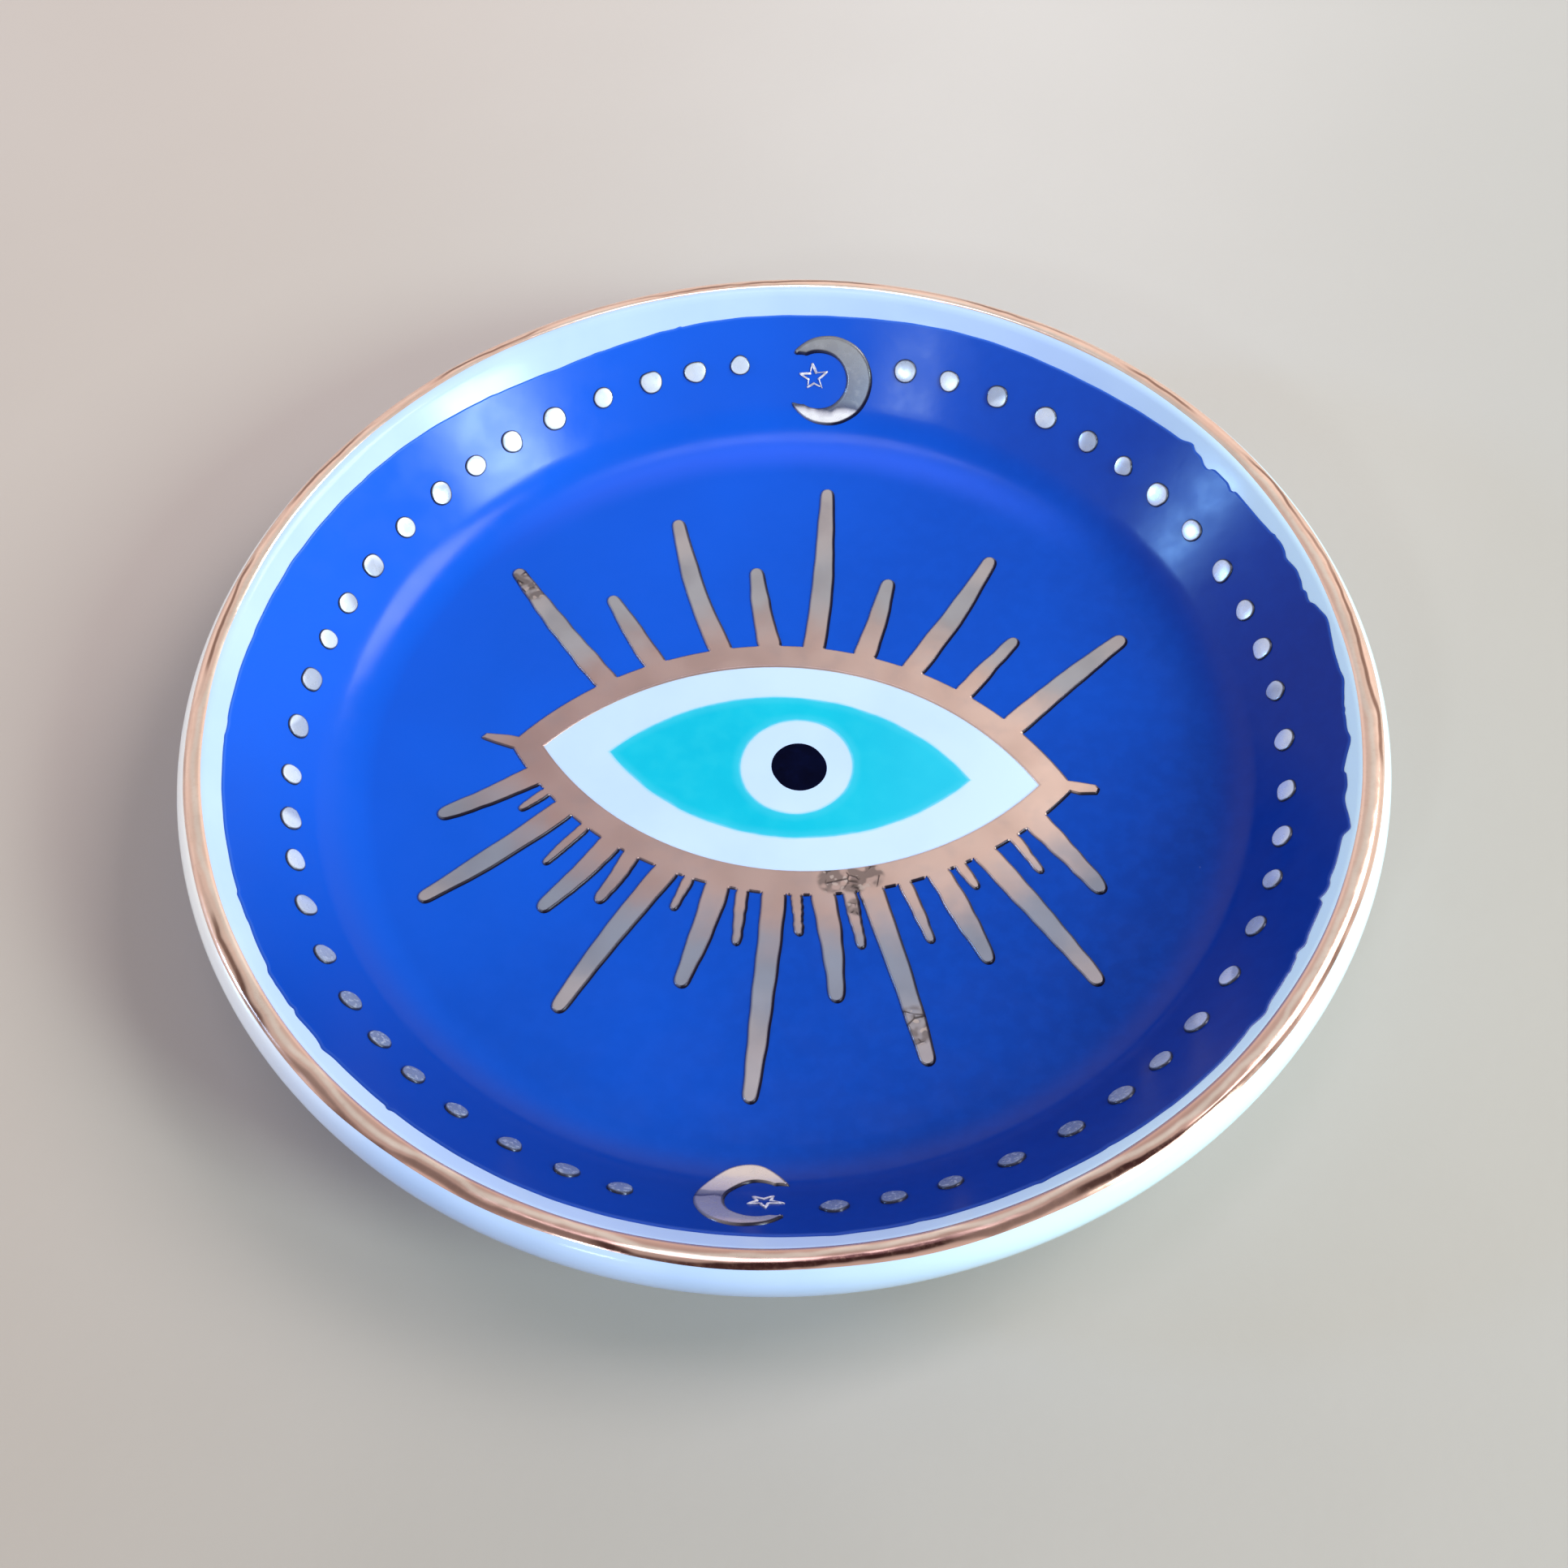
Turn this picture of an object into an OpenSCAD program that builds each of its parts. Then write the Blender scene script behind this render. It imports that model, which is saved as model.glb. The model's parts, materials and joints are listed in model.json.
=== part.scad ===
// Evil eye ornament: a shallow round trinket dish of glazed stoneware.
// Lengths are in millimetres. The dish stands on its foot at z = 0, the eye's
// long axis runs along X and the moons sit on the Y axis.

/* [Dish] */
// Radius at the widest part of the lip
dish_r = 60.6; // [50:0.1:75]
// Height of the foot ring below the dish
foot_h = 1.5; // [0.8:0.1:3]
// Outer radius of the foot ring where it meets the dish
foot_r = 46; // [36:0.5:48]
// Radial width of the foot ring
foot_w = 4; // [2:0.5:8]
// Thickness of the dish under the inner floor
floor_t = 3.5; // [2.5:0.1:6]
// Radius of the flat part of the inner floor
floor_r = 43; // [38:0.5:45]
// Radius of the round between the floor and the wall
round_r = 8; // [5:0.5:9]
// Slope of the inner wall in degrees
wall_a = 49; // [42:1:54]
// Radius of the lip on its inner side
lip_in = 1.7; // [1.2:0.1:2.2]
// Radius of the lip on its outer side
lip_out = 2.3; // [1.8:0.1:3]
// Radius of the round under the lip on the outside
belly_r = 4.5; // [3:0.1:5]

/* [Coats] */
// Thickness of the fired colours inside the dish
glaze_t = 0.25; // [0.2:0.01:0.4]
// Thickness of the metal lustre
lustre_t = 0.2; // [0.15:0.01:0.3]
// Mean radius of the outer edge of the blue glaze
blue_r = 55.9; // [54.5:0.1:56.4]
// Part of the lip the rim lustre covers on the inner side, in degrees
rim_in_a = 46; // [30:1:49]
// Part of the lip the rim lustre covers on the outer side, in degrees
rim_out_a = 26; // [15:1:60]

/* [Eye] */
// Eye centre along X
eye_x = 0.7; // [-2:0.1:2]
// Eye centre along Y
eye_y = -0.6; // [-2:0.1:2]
// Half length of the white of the eye
white_a = 26.4; // [22:0.1:30]
// Half height of the white of the eye
white_b = 12.9; // [10:0.1:15]
// Half length of the turquoise iris
iris_a = 19.1; // [15:0.1:21]
// Half height of the turquoise iris
iris_b = 8.8; // [7:0.1:10]
// Half length of the eyelid line's outer edge
lid_a = 29.7; // [28:0.1:33]
// Half height of the eyelid line's outer edge
lid_b = 15.5; // [15:0.1:18]
// Turn of the eye about its centre in degrees
eye_turn = -0.9; // [-5:0.1:5]
// Radius of the white ring around the pupil
ring_r = 5.9; // [4.5:0.1:7]
// Radius of the pupil
pupil_r = 2.8; // [2:0.1:3.5]

/* [Dots and moons] */
// Number of dots on each side
dot_n = 26; // [10:1:30]
// Radius of a dot
dot_r = 1.2; // [0.8:0.05:1.5]
// Height of a dot above the glaze
dot_h = 0.3; // [0.2:0.05:0.6]
// Mean distance of the dots from the middle of the dish
dot_at = 51.9; // [50.5:0.1:53]
// How much farther out the dots sit beside the moons, and nearer at the two sides
dot_oval = 0.4; // [0:0.1:0.8]
// How far the ring of dots is off centre, toward the upper right
dot_shift = 0.4; // [0:0.1:0.8]
// Angle of the first and last dot above and below the X axis
dot_span = 79.5; // [70:0.5:82]
// Distance of the lower moon from the middle of the dish
moon_at = 50.3; // [49:0.1:52]
// How much farther out the upper moon sits
moon_shift = 0.5; // [0:0.1:1]
// Angle of the upper moon round the dish
moon_top_a = 89.5; // [85:0.5:95]
// Angle of the lower moon round the dish
moon_bottom_a = -88; // [-95:0.5:-85]
// Width and height of the lower moon as shares of the upper one's
low_moon = [0.9, 1.22]; // [0.8:0.01:1.3]
// Radius of a moon
moon_r = 5; // [4:0.1:6]

/* [Hidden] */
$fn = 96;
// Height of a shape that only cuts another
cut_h = 30;
// Height of the prism a moon or star is cut from
mark_h = 6;
// How far a lash reaches under the eyelid line
lash_tuck = 1.5;
// Radius of a lash's rounded end, as a share of its width at the foot
lash_round = 0.28;
// How much narrower half a lash is at its end, as a share of its width
lash_thin = 0.22;
// How late along its length a lash narrows
lash_late = 1.8;
// Pieces a lash's middle line is drawn with
lash_steps = 8;
// How much smaller a dot is at its top
dot_taper = 0.35;
// Clearance between a dot's flat foot and the curved glaze
dot_gap = 0.015;
// How much the spacing of the dots wanders, in degrees
dot_wander = 0.5;
// Place of the pupil's ring along the eye
ring_x = 0.8;

// Lashes above the eye: foot x, foot y, tip x, tip y, width at the foot, bow to the left
up = [
  [-19.5, 8.2, -32.6, 23.4, 2.3, 0.3],
  [-14.6, 10.9, -21.4, 20.4, 2.2, 0.1],
  [-7.8, 13.5, -15.4, 32, 2.2, 0.6],
  [-2.7, 14.4, -5.6, 25.6, 2.2, 0.2],
  [1.8, 14.7, 1.5, 37.9, 2.2, -0.4],
  [7.4, 14.1, 9.5, 25.1, 2.2, -0.2],
  [12.6, 12.6, 20.8, 29.1, 2.3, -0.4],
  [18.5, 9.9, 23.9, 17.9, 1.8, 0.1],
  [24, 6.2, 35.6, 19, 2.4, 0.2]
];

// Lashes below the eye, in the same order of values
low = [
  [-26.1, -4, -35.1, -9.7, 2.3, 0.2],
  [-24.3, -5.9, -26.8, -8.3, 0.9, 0],
  [-22.4, -7.9, -35.1, -19.8, 2.3, 0.3],
  [-19.7, -9.9, -23.2, -14.6, 0.9, 0],
  [-16.8, -11.6, -22.7, -20, 2.2, 0.2],
  [-14.4, -12.9, -17, -18.6, 1.6, 0.1],
  [-10.6, -14.6, -19.3, -31, 2.3, -0.3],
  [-8.2, -15.4, -9.3, -18.8, 0.9, 0],
  [-5.2, -15.8, -7.5, -27.3, 2.3, 0.2],
  [-2.5, -16.2, -2.5, -22.3, 1, 0],
  [0.7, -16.2, 0.7, -39, 2.2, 0.1],
  [3, -16.2, 3.7, -20.7, 0.9, 0],
  [5.5, -15.8, 8.1, -27.7, 2.2, 0.3],
  [8.2, -15.5, 10, -21.6, 1.1, 0.1],
  [10.5, -15.2, 17.4, -33.6, 2.2, 0.2],
  [13.8, -14.1, 16.9, -20.4, 1.1, 0.1],
  [17, -12.6, 22.8, -22.3, 2.2, 0.2],
  [19.2, -11.2, 21.1, -13.9, 1, 0],
  [21.3, -9.5, 33.5, -23.6, 2.3, 0.2],
  [24, -7.1, 27.5, -11.5, 0.9, 0.1],
  [26.2, -5, 33.7, -13.2, 2.4, 0.1]
];

// Heights and radii that follow from the values above
floor_z = foot_h + floor_t;
round_x = floor_r + round_r * sin(wall_a);
round_z = floor_z + round_r * (1 - cos(wall_a));
crest_r = dish_r - lip_out;
wall_r = crest_r - lip_in * sin(wall_a);
wall_z = round_z + (wall_r - round_x) * tan(wall_a);
lip_z = wall_z - lip_in * cos(wall_a);
crest_z = lip_z + lip_in;
wide_z = crest_z - lip_out;
belly_x = dish_r - belly_r;
belly_end_r = belly_x + belly_r * cos(45);
belly_end_z = wide_z - belly_r * sin(45);
under_r = belly_end_r - (belly_end_z - foot_h);
coat_z = floor_z + glaze_t;

// Colours
ceramic = [0.90, 0.94, 0.98];
clay = [0.83, 0.76, 0.66];
cobalt = [0.05, 0.20, 0.72];
turquoise = [0.08, 0.78, 0.92];
navy = [0.01, 0.02, 0.12];
rose_gold = [0.80, 0.56, 0.45];
lustre = [0.72, 0.60, 0.52];
silver = [0.78, 0.78, 0.76];

// A pointed oval bounded by two arcs
function arc_r(a, b) = (a * a + b * b) / (2 * b);
module leaf(a, b) {
  intersection() {
    translate([0, b - arc_r(a, b)]) circle(r = arc_r(a, b));
    translate([0, arc_r(a, b) - b]) circle(r = arc_r(a, b));
  }
}

// A wedge from angle a0 to angle a1, wide enough to cut a round of radius r
module wedge(r, a0, a1) {
  polygon([
    [0, 0],
    [2 * r * cos(a0), 2 * r * sin(a0)],
    [2 * r * cos(a1), 2 * r * sin(a1)]
  ]);
}

// A slice of a flat ring
module ring_slice(r_out, r_in, a0, a1) {
  intersection() {
    difference() {
      circle(r = r_out);
      circle(r = r_in);
    }
    wedge(r_out, a0, a1);
  }
}

// Half section of everything below a surface t above the inner one
module below_section(t) {
  difference() {
    polygon([
      [0, 0],
      [0, floor_z + t],
      [floor_r, floor_z + t],
      [round_x - t * sin(wall_a), round_z + t * cos(wall_a)],
      [wall_r - t * sin(wall_a), wall_z + t * cos(wall_a)],
      [wall_r, wall_z],
      [wall_r, 0]
    ]);
    translate([floor_r, floor_z + round_r]) circle(r = round_r - t);
  }
}

// Half sections of a coat between two heights over the round and over the wall
module round_section(t0, t1) {
  translate([floor_r, floor_z + round_r]) ring_slice(round_r - t0, round_r - t1, -90, wall_a - 90);
}

module wall_section(t0, t1) {
  polygon([
    [round_x - t0 * sin(wall_a), round_z + t0 * cos(wall_a)],
    [wall_r - t0 * sin(wall_a), wall_z + t0 * cos(wall_a)],
    [wall_r - t1 * sin(wall_a), wall_z + t1 * cos(wall_a)],
    [round_x - t1 * sin(wall_a), round_z + t1 * cos(wall_a)]
  ]);
}

// Outer edge of the blue glaze, laid on by hand: it stops short at upper left and at the bottom
function bump(a, at, wide) = exp(-pow((a - at) / wide, 2));
function ragged(a) = 0.12 * sin(11 * a) * cos(a / 2 + 5);
function short_by(a) = 0.7 * bump(a, 125, 18) + 0.9 * bump(a, 265, 45);
function drift(a) = 0.4 * cos(a - 285) + 0.5 * bump(a, 16, 10) - short_by(a);
function edge_at(a) = blue_r + drift(a) + ragged(a);
module blue_outline() {
  polygon([for (a = [0:5:355]) [edge_at(a) * cos(a), edge_at(a) * sin(a)]]);
}

// Places a flat shape against the inner wall, its X axis up the slope
module on_wall(angle, r, lift) {
  rotate([0, 0, angle])
    translate([
      r - lift * sin(wall_a),
      0,
      round_z + (r - round_x) * tan(wall_a) + lift * cos(wall_a)
    ])
    rotate([0, -wall_a, 0])
    children();
}

module eye_shape(h) {
  translate([eye_x, eye_y, 0]) rotate(eye_turn) linear_extrude(height = h) children();
}

// A lash: its middle line, its half width and its rounded end
function lash_dir(k) = [k[2] - k[0], k[3] - k[1]] / norm([k[2] - k[0], k[3] - k[1]]);
function lash_side(k) = [-lash_dir(k)[1], lash_dir(k)[0]];
function lash_foot(k) = [k[0], k[1]] - lash_tuck * lash_dir(k);
function lash_end(k) = [k[2], k[3]] - lash_round * k[4] * lash_dir(k);
function lash_mid(k, t) = (1 - t) * lash_foot(k) + t * lash_end(k) + 4 * t * (1 - t) * k[5] * lash_side(k);
function lash_half(k, t) = k[4] * (0.5 - lash_thin * pow(t, lash_late));
function lash_points(k) = concat(
  [for (t = [0:1 / lash_steps:1]) lash_mid(k, t) + lash_half(k, t) * lash_side(k)],
  [for (a = [30:30:150]) lash_end(k) + lash_round * k[4] * (cos(a) * lash_side(k) + sin(a) * lash_dir(k))],
  [for (t = [1:-1 / lash_steps:0]) lash_mid(k, t) - lash_half(k, t) * lash_side(k)]
);
module lash(k) {
  color(lustre)
  translate([0, 0, coat_z])
  difference() {
    linear_extrude(height = lustre_t) polygon(lash_points(k));
    translate([0, 0, -cut_h / 2]) eye_shape(cut_h) leaf(lid_a, lid_b);
  }
}

// The bare, unglazed ring the dish stands on
module foot_ring() {
  color(clay)
  rotate_extrude()
  polygon([
    [foot_r - foot_w, foot_h],
    [foot_r, foot_h],
    [foot_r - 0.6, 0],
    [foot_r - foot_w + 0.6, 0]
  ]);
}

// The white glazed body: one turned section, its corners cut back to rounds
module dish_body() {
  color(ceramic)
  rotate_extrude() difference() {
    polygon([
      [0, foot_h],
      [0, floor_z],
      [floor_r, floor_z],
      [round_x, round_z],
      [wall_r, wall_z],
      [crest_r - lip_in * tan(wall_a / 2), crest_z],
      [dish_r, crest_z],
      [dish_r, wide_z - belly_r * tan(22.5)],
      [under_r, foot_h]
    ]);
    translate([floor_r, floor_z + round_r]) circle(r = round_r);
    translate([crest_r, lip_z]) difference() {
      wedge(2 * lip_in, 90, 90 + wall_a);
      circle(r = lip_in);
    }
    translate([crest_r, wide_z]) difference() {
      square([2 * lip_out, 2 * lip_out]);
      circle(r = lip_out);
    }
    translate([belly_x, wide_z]) difference() {
      wedge(2 * belly_r, -45, 0);
      circle(r = belly_r);
    }
  }
}

// Metal lustre over the top of the lip
module rim_band() {
  color(rose_gold)
  rotate_extrude() {
    translate([crest_r, lip_z]) ring_slice(lip_in + lustre_t, lip_in, 90, 90 + rim_in_a);
    translate([crest_r, wide_z]) ring_slice(lip_out + lustre_t, lip_out, 90 - rim_out_a, 90);
  }
}

// Blue glaze on the floor and wall, left open where the eye is
module blue_field() {
  color(cobalt)
  difference() {
    intersection() {
      rotate_extrude() difference() {
        below_section(glaze_t);
        below_section(0);
      }
      linear_extrude(height = cut_h) blue_outline();
    }
    eye_shape(cut_h) leaf(white_a, white_b);
  }
}

module eye_white() {
  color(ceramic)
  translate([0, 0, floor_z])
  eye_shape(glaze_t) difference() {
    leaf(white_a, white_b);
    leaf(iris_a, iris_b);
  }
}

module iris() {
  color(turquoise)
  translate([0, 0, floor_z])
  eye_shape(glaze_t) difference() {
    leaf(iris_a, iris_b);
    translate([ring_x, 0]) circle(r = ring_r);
  }
}

module pupil_shape() {
  translate([0.95, 0.15]) circle(r = pupil_r);
  translate([1.25, -0.2]) circle(r = pupil_r);
}

module iris_ring() {
  color(ceramic)
  translate([0, 0, floor_z])
  eye_shape(glaze_t) difference() {
    translate([ring_x, 0]) circle(r = ring_r);
    pupil_shape();
  }
}

module pupil() {
  color(navy)
  translate([0, 0, floor_z])
  eye_shape(glaze_t) pupil_shape();
}

// Lustre line around the eye with a short flick at each corner
module eyelid() {
  color(lustre)
  translate([0, 0, coat_z]) {
    eye_shape(lustre_t) difference() {
      leaf(lid_a, lid_b);
      leaf(white_a, white_b);
    }
    eye_shape(lustre_t)
      polygon([[-27.5, 0], [-28.6, 0.8], [-30.2, 1], [-32.6, 1], [-33, 0.5], [-31.4, 0], [-29.4, -0.5]]);
    eye_shape(lustre_t)
      polygon([[27.5, 0], [28.6, 0.8], [30.2, 0.7], [32, 0.5], [32.3, 0.1], [32.1, -0.4], [30.4, -0.6]]);
  }
}

// A raised dot of lustre on the wall; the hand-set ring is a little oval and off centre
function dot_reach(angle) = dot_at - dot_oval * cos(2 * angle) + dot_shift * cos(angle - 30);
module dot(angle) {
  on_wall(angle, dot_reach(angle), glaze_t + dot_gap) cylinder(h = dot_h, r1 = dot_r, r2 = dot_r - dot_taper);
}

// The dots are set by hand, so their spacing wanders a little
function dot_angle(i) = dot_span - i * 2 * dot_span / (dot_n - 1) + dot_wander * sin(75 * i);
module dots_right() {
  color(silver) for (i = [0:dot_n - 1]) dot(dot_angle(i));
}

module dots_left() {
  color(silver) for (i = [0:dot_n - 1]) dot(180 + dot_angle(i));
}

// A circle of radius r drawn out to shares of its width and height
module oval(r, share) {
  polygon([for (a = [0:5:355]) r * [share[0] * cos(a), share[1] * sin(a)]]);
}

// A crescent with its open side to the left, and the star it holds
module crescent_shape(share) {
  difference() {
    oval(moon_r, share);
    translate([-1.1 * share[0], 0]) oval(3.45, share);
    translate([-3.2 * share[0], 0]) oval(3.1, share);
  }
}

function star_points(r_out, r_in) = [
  for (i = [0:9]) (i % 2 == 0 ? r_out : r_in) * [sin(36 * i), cos(36 * i)]
];
module star_shape() {
  translate([-1.7, 0.3]) rotate(8) difference() {
    polygon(star_points(1.7, 0.75));
    polygon(star_points(1.1, 0.45));
  }
}

// Distance from the middle of the moon at an angle: the upper one sits farther out
function moon_out(angle) = moon_at + (angle > 0 ? moon_shift : 0);

module moon_place(angle) {
  on_wall(angle, moon_out(angle), -mark_h / 2)
    rotate(-90)
    linear_extrude(height = mark_h)
    children();
}

module lustre_on_wall(angle) {
  intersection() {
    rotate_extrude() round_section(glaze_t, glaze_t + lustre_t);
    moon_place(angle) children();
  }
  intersection() {
    rotate_extrude() wall_section(glaze_t, glaze_t + lustre_t);
    moon_place(angle) children();
  }
}

module moon_top() {
  color(lustre) lustre_on_wall(moon_top_a) crescent_shape([1, 1]);
}

module star_top() {
  color(lustre) lustre_on_wall(moon_top_a) star_shape();
}

module moon_bottom() {
  color(lustre) lustre_on_wall(moon_bottom_a) crescent_shape(low_moon);
}

module star_bottom() {
  color(lustre) lustre_on_wall(moon_bottom_a) star_shape();
}

module lash_up_1() lash(up[0]);
module lash_up_2() lash(up[1]);
module lash_up_3() lash(up[2]);
module lash_up_4() lash(up[3]);
module lash_up_5() lash(up[4]);
module lash_up_6() lash(up[5]);
module lash_up_7() lash(up[6]);
module lash_up_8() lash(up[7]);
module lash_up_9() lash(up[8]);

module lash_low_1() lash(low[0]);
module lash_low_2() lash(low[1]);
module lash_low_3() lash(low[2]);
module lash_low_4() lash(low[3]);
module lash_low_5() lash(low[4]);
module lash_low_6() lash(low[5]);
module lash_low_7() lash(low[6]);
module lash_low_8() lash(low[7]);
module lash_low_9() lash(low[8]);
module lash_low_10() lash(low[9]);
module lash_low_11() lash(low[10]);
module lash_low_12() lash(low[11]);
module lash_low_13() lash(low[12]);
module lash_low_14() lash(low[13]);
module lash_low_15() lash(low[14]);
module lash_low_16() lash(low[15]);
module lash_low_17() lash(low[16]);
module lash_low_18() lash(low[17]);
module lash_low_19() lash(low[18]);
module lash_low_20() lash(low[19]);
module lash_low_21() lash(low[20]);

dish_body();
foot_ring();
rim_band();
blue_field();
eye_white();
iris();
iris_ring();
pupil();
eyelid();
lash_up_1();
lash_up_2();
lash_up_3();
lash_up_4();
lash_up_5();
lash_up_6();
lash_up_7();
lash_up_8();
lash_up_9();
lash_low_1();
lash_low_2();
lash_low_3();
lash_low_4();
lash_low_5();
lash_low_6();
lash_low_7();
lash_low_8();
lash_low_9();
lash_low_10();
lash_low_11();
lash_low_12();
lash_low_13();
lash_low_14();
lash_low_15();
lash_low_16();
lash_low_17();
lash_low_18();
lash_low_19();
lash_low_20();
lash_low_21();
dots_left();
dots_right();
moon_top();
moon_bottom();
star_top();
star_bottom();
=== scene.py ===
import json
import math

import bpy
import numpy as np
from mathutils import Matrix, Vector
from mathutils.geometry import delaunay_2d_cdt

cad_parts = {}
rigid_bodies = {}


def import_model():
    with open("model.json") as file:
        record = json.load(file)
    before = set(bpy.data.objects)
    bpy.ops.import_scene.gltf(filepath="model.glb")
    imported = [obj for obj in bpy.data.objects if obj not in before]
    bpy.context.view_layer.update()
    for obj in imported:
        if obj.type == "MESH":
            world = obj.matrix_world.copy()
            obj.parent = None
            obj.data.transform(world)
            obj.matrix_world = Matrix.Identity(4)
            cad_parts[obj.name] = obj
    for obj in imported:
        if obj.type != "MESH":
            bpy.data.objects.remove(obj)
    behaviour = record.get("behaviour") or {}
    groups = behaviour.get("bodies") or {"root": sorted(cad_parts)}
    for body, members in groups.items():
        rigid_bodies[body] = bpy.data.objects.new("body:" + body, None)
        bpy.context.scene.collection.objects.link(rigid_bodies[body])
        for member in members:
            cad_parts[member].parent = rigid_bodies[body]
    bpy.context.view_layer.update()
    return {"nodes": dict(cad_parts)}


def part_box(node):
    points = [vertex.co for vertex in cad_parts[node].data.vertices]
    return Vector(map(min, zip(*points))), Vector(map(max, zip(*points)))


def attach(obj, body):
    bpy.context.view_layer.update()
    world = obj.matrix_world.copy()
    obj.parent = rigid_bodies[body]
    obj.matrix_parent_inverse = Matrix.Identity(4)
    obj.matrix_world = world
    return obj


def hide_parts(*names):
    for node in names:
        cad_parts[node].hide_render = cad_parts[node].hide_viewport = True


for spare in list(bpy.data.objects):
    bpy.data.objects.remove(spare)
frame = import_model()
nodes = frame["nodes"]

# ---- sizes
MM = 0.001
TO_MM = 1000
FLOOR_R = 43 * MM  # flat part of the inner floor
ROUND_R = 8 * MM  # round between floor and wall
WALL_DEG = 49  # slope of the inner wall
WALL_A = math.radians(WALL_DEG)
LIP_IN = 1.7 * MM  # round of the lip, inner side
LIP_OUT = 2.3 * MM  # round of the lip, outer side
BELLY_R = 4.5 * MM  # round under the lip, outside

FLOOR_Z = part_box("pupil")[0].z
GLAZE_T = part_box("pupil")[1].z - FLOOR_Z
LUSTRE_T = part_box("eyelid")[1].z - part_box("eyelid")[0].z
DISH_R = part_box("dish_body")[1].x
CREST_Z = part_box("dish_body")[1].z
UNDER_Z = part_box("dish_body")[0].z
FOOT_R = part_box("foot_ring")[1].x
CREST_R = DISH_R - LIP_OUT
WIDE_Z = CREST_Z - LIP_OUT
ROUND_X = FLOOR_R + ROUND_R * math.sin(WALL_A)
ROUND_Z = FLOOR_Z + ROUND_R * (1 - math.cos(WALL_A))
EYE = (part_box("eyelid")[0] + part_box("eyelid")[1]) / 2
EYE_TURN = math.radians(-0.9)  # turn of the eye about its centre
RING_AT = 0.8 * MM  # the white ring's place along the eye
RING_R = (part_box("iris_ring")[1].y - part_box("iris_ring")[0].y) / 2
RING_MIDDLE = (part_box("iris_ring")[0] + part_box("iris_ring")[1]) / 2
EYE_X = RING_MIDDLE.x - RING_AT * math.cos(EYE_TURN)
EYE_Y = RING_MIDDLE.y - RING_AT * math.sin(EYE_TURN)
IRIS = (19.1 * MM, 8.8 * MM)  # half length and half height


def eye_point(x, y):
    """Plan position of a point given in the eye's own axes."""
    c, s = math.cos(EYE_TURN), math.sin(EYE_TURN)
    return EYE_X + c * x - s * y, EYE_Y + s * x + c * y


# ---- the inner surface
def slope_at(r):
    """Slope of the inner surface at a distance r from the axis, in radians."""
    t = np.clip((np.asarray(r, float) - FLOOR_R) / ROUND_R, 0, math.sin(WALL_A))
    return np.arcsin(t)


def surface_z(r):
    """Height of the inner surface at a distance r from the axis."""
    r = np.asarray(r, float)
    round_z = FLOOR_Z + ROUND_R * (1 - np.cos(slope_at(r)))
    return round_z + np.clip(r - ROUND_X, 0, None) * math.tan(WALL_A)


def settle(points):
    """The small unevenness of a dish thrown by hand, the same for every piece."""
    p = np.array(points, float)
    a = np.arctan2(p[:, 1], p[:, 0])
    out = np.clip(np.hypot(p[:, 0], p[:, 1]) / DISH_R, 0, 1) ** 3
    p[:, :2] *= (1 - out * (0.0012 + 0.0008 * np.sin(2 * a + 0.7) + 0.0004 * np.sin(5 * a)))[:, None]
    p[:, 2] -= out * (p[:, 2] / CREST_Z) * MM * (0.07 + 0.05 * np.sin(3 * a + 1.1) + 0.02 * np.sin(7 * a))
    return p


def on_surface(xy, height):
    """Points a height above the inner surface, over the plan points xy, and the surface's normals there."""
    xy = np.asarray(xy, float)
    r = np.hypot(xy[:, 0], xy[:, 1])
    away = xy / np.maximum(r, 1e-9)[:, None]
    s = slope_at(r)
    normal = np.column_stack([-away * np.sin(s)[:, None], np.cos(s)])
    base = np.column_stack([xy, surface_z(r)])
    return base + normal * np.broadcast_to(height, r.shape)[:, None], normal


# ---- mesh helpers
def mesh_object(name, points, faces, material, node_names, normals=None, edge=None, dark=None):
    """A smooth mesh piece that stands for the CAD nodes named, from lists of arrays."""
    mesh = bpy.data.meshes.new(name)
    corners = [tuple(p) for p in settle(np.concatenate(points))]
    mesh.from_pydata(corners, [], [tuple(int(i) for i in f) for f in faces])
    mesh.validate()
    for polygon in mesh.polygons:
        polygon.use_smooth = True
    for label, values in (("edge", edge), ("dark", dark)):
        if values is not None:
            layer = mesh.attributes.new(label, "FLOAT", "POINT")
            layer.data.foreach_set("value", np.concatenate(values).astype(np.float32))
    if normals is not None:
        unit = np.concatenate(normals)
        unit /= np.linalg.norm(unit, axis=1)[:, None]
        mesh.normals_split_custom_set_from_vertices([tuple(n) for n in unit])
    mesh.materials.append(material)
    piece = bpy.data.objects.new(name, mesh)
    bpy.context.scene.collection.objects.link(piece)
    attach(piece, "root")
    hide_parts(*node_names)
    return piece


def top_loops(node):
    """The outlines of a CAD coat's upper side, seen from above, the longest first."""
    mesh = nodes[node].data
    co = np.array([v.co for v in mesh.vertices])
    keys = [tuple(k) for k in np.round(co / (2 * MM / 1000)).astype(int)]
    first = {}
    weld = [first.setdefault(k, i) for i, k in enumerate(keys)]
    count = {}
    for polygon in mesh.polygons:
        if polygon.normal.z < 0.3:
            continue
        ring = [weld[i] for i in polygon.vertices]
        for a, b in zip(ring, ring[1:] + ring[:1]):
            if a != b:
                count[(a, b)] = count.get((a, b), 0) + 1
    ahead = {a: b for (a, b) in count if (b, a) not in count}
    loops = []
    while ahead:
        start = next(iter(ahead))
        loop = [start]
        step = ahead.pop(start)
        while step != start and step in ahead:
            loop.append(step)
            step = ahead.pop(step)
        loops.append(co[loop][:, :2])
    return sorted(loops, key=lambda l: -len_of(l))


def len_of(loop):
    return np.linalg.norm(np.roll(loop, -1, axis=0) - loop, axis=1).sum()


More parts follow.
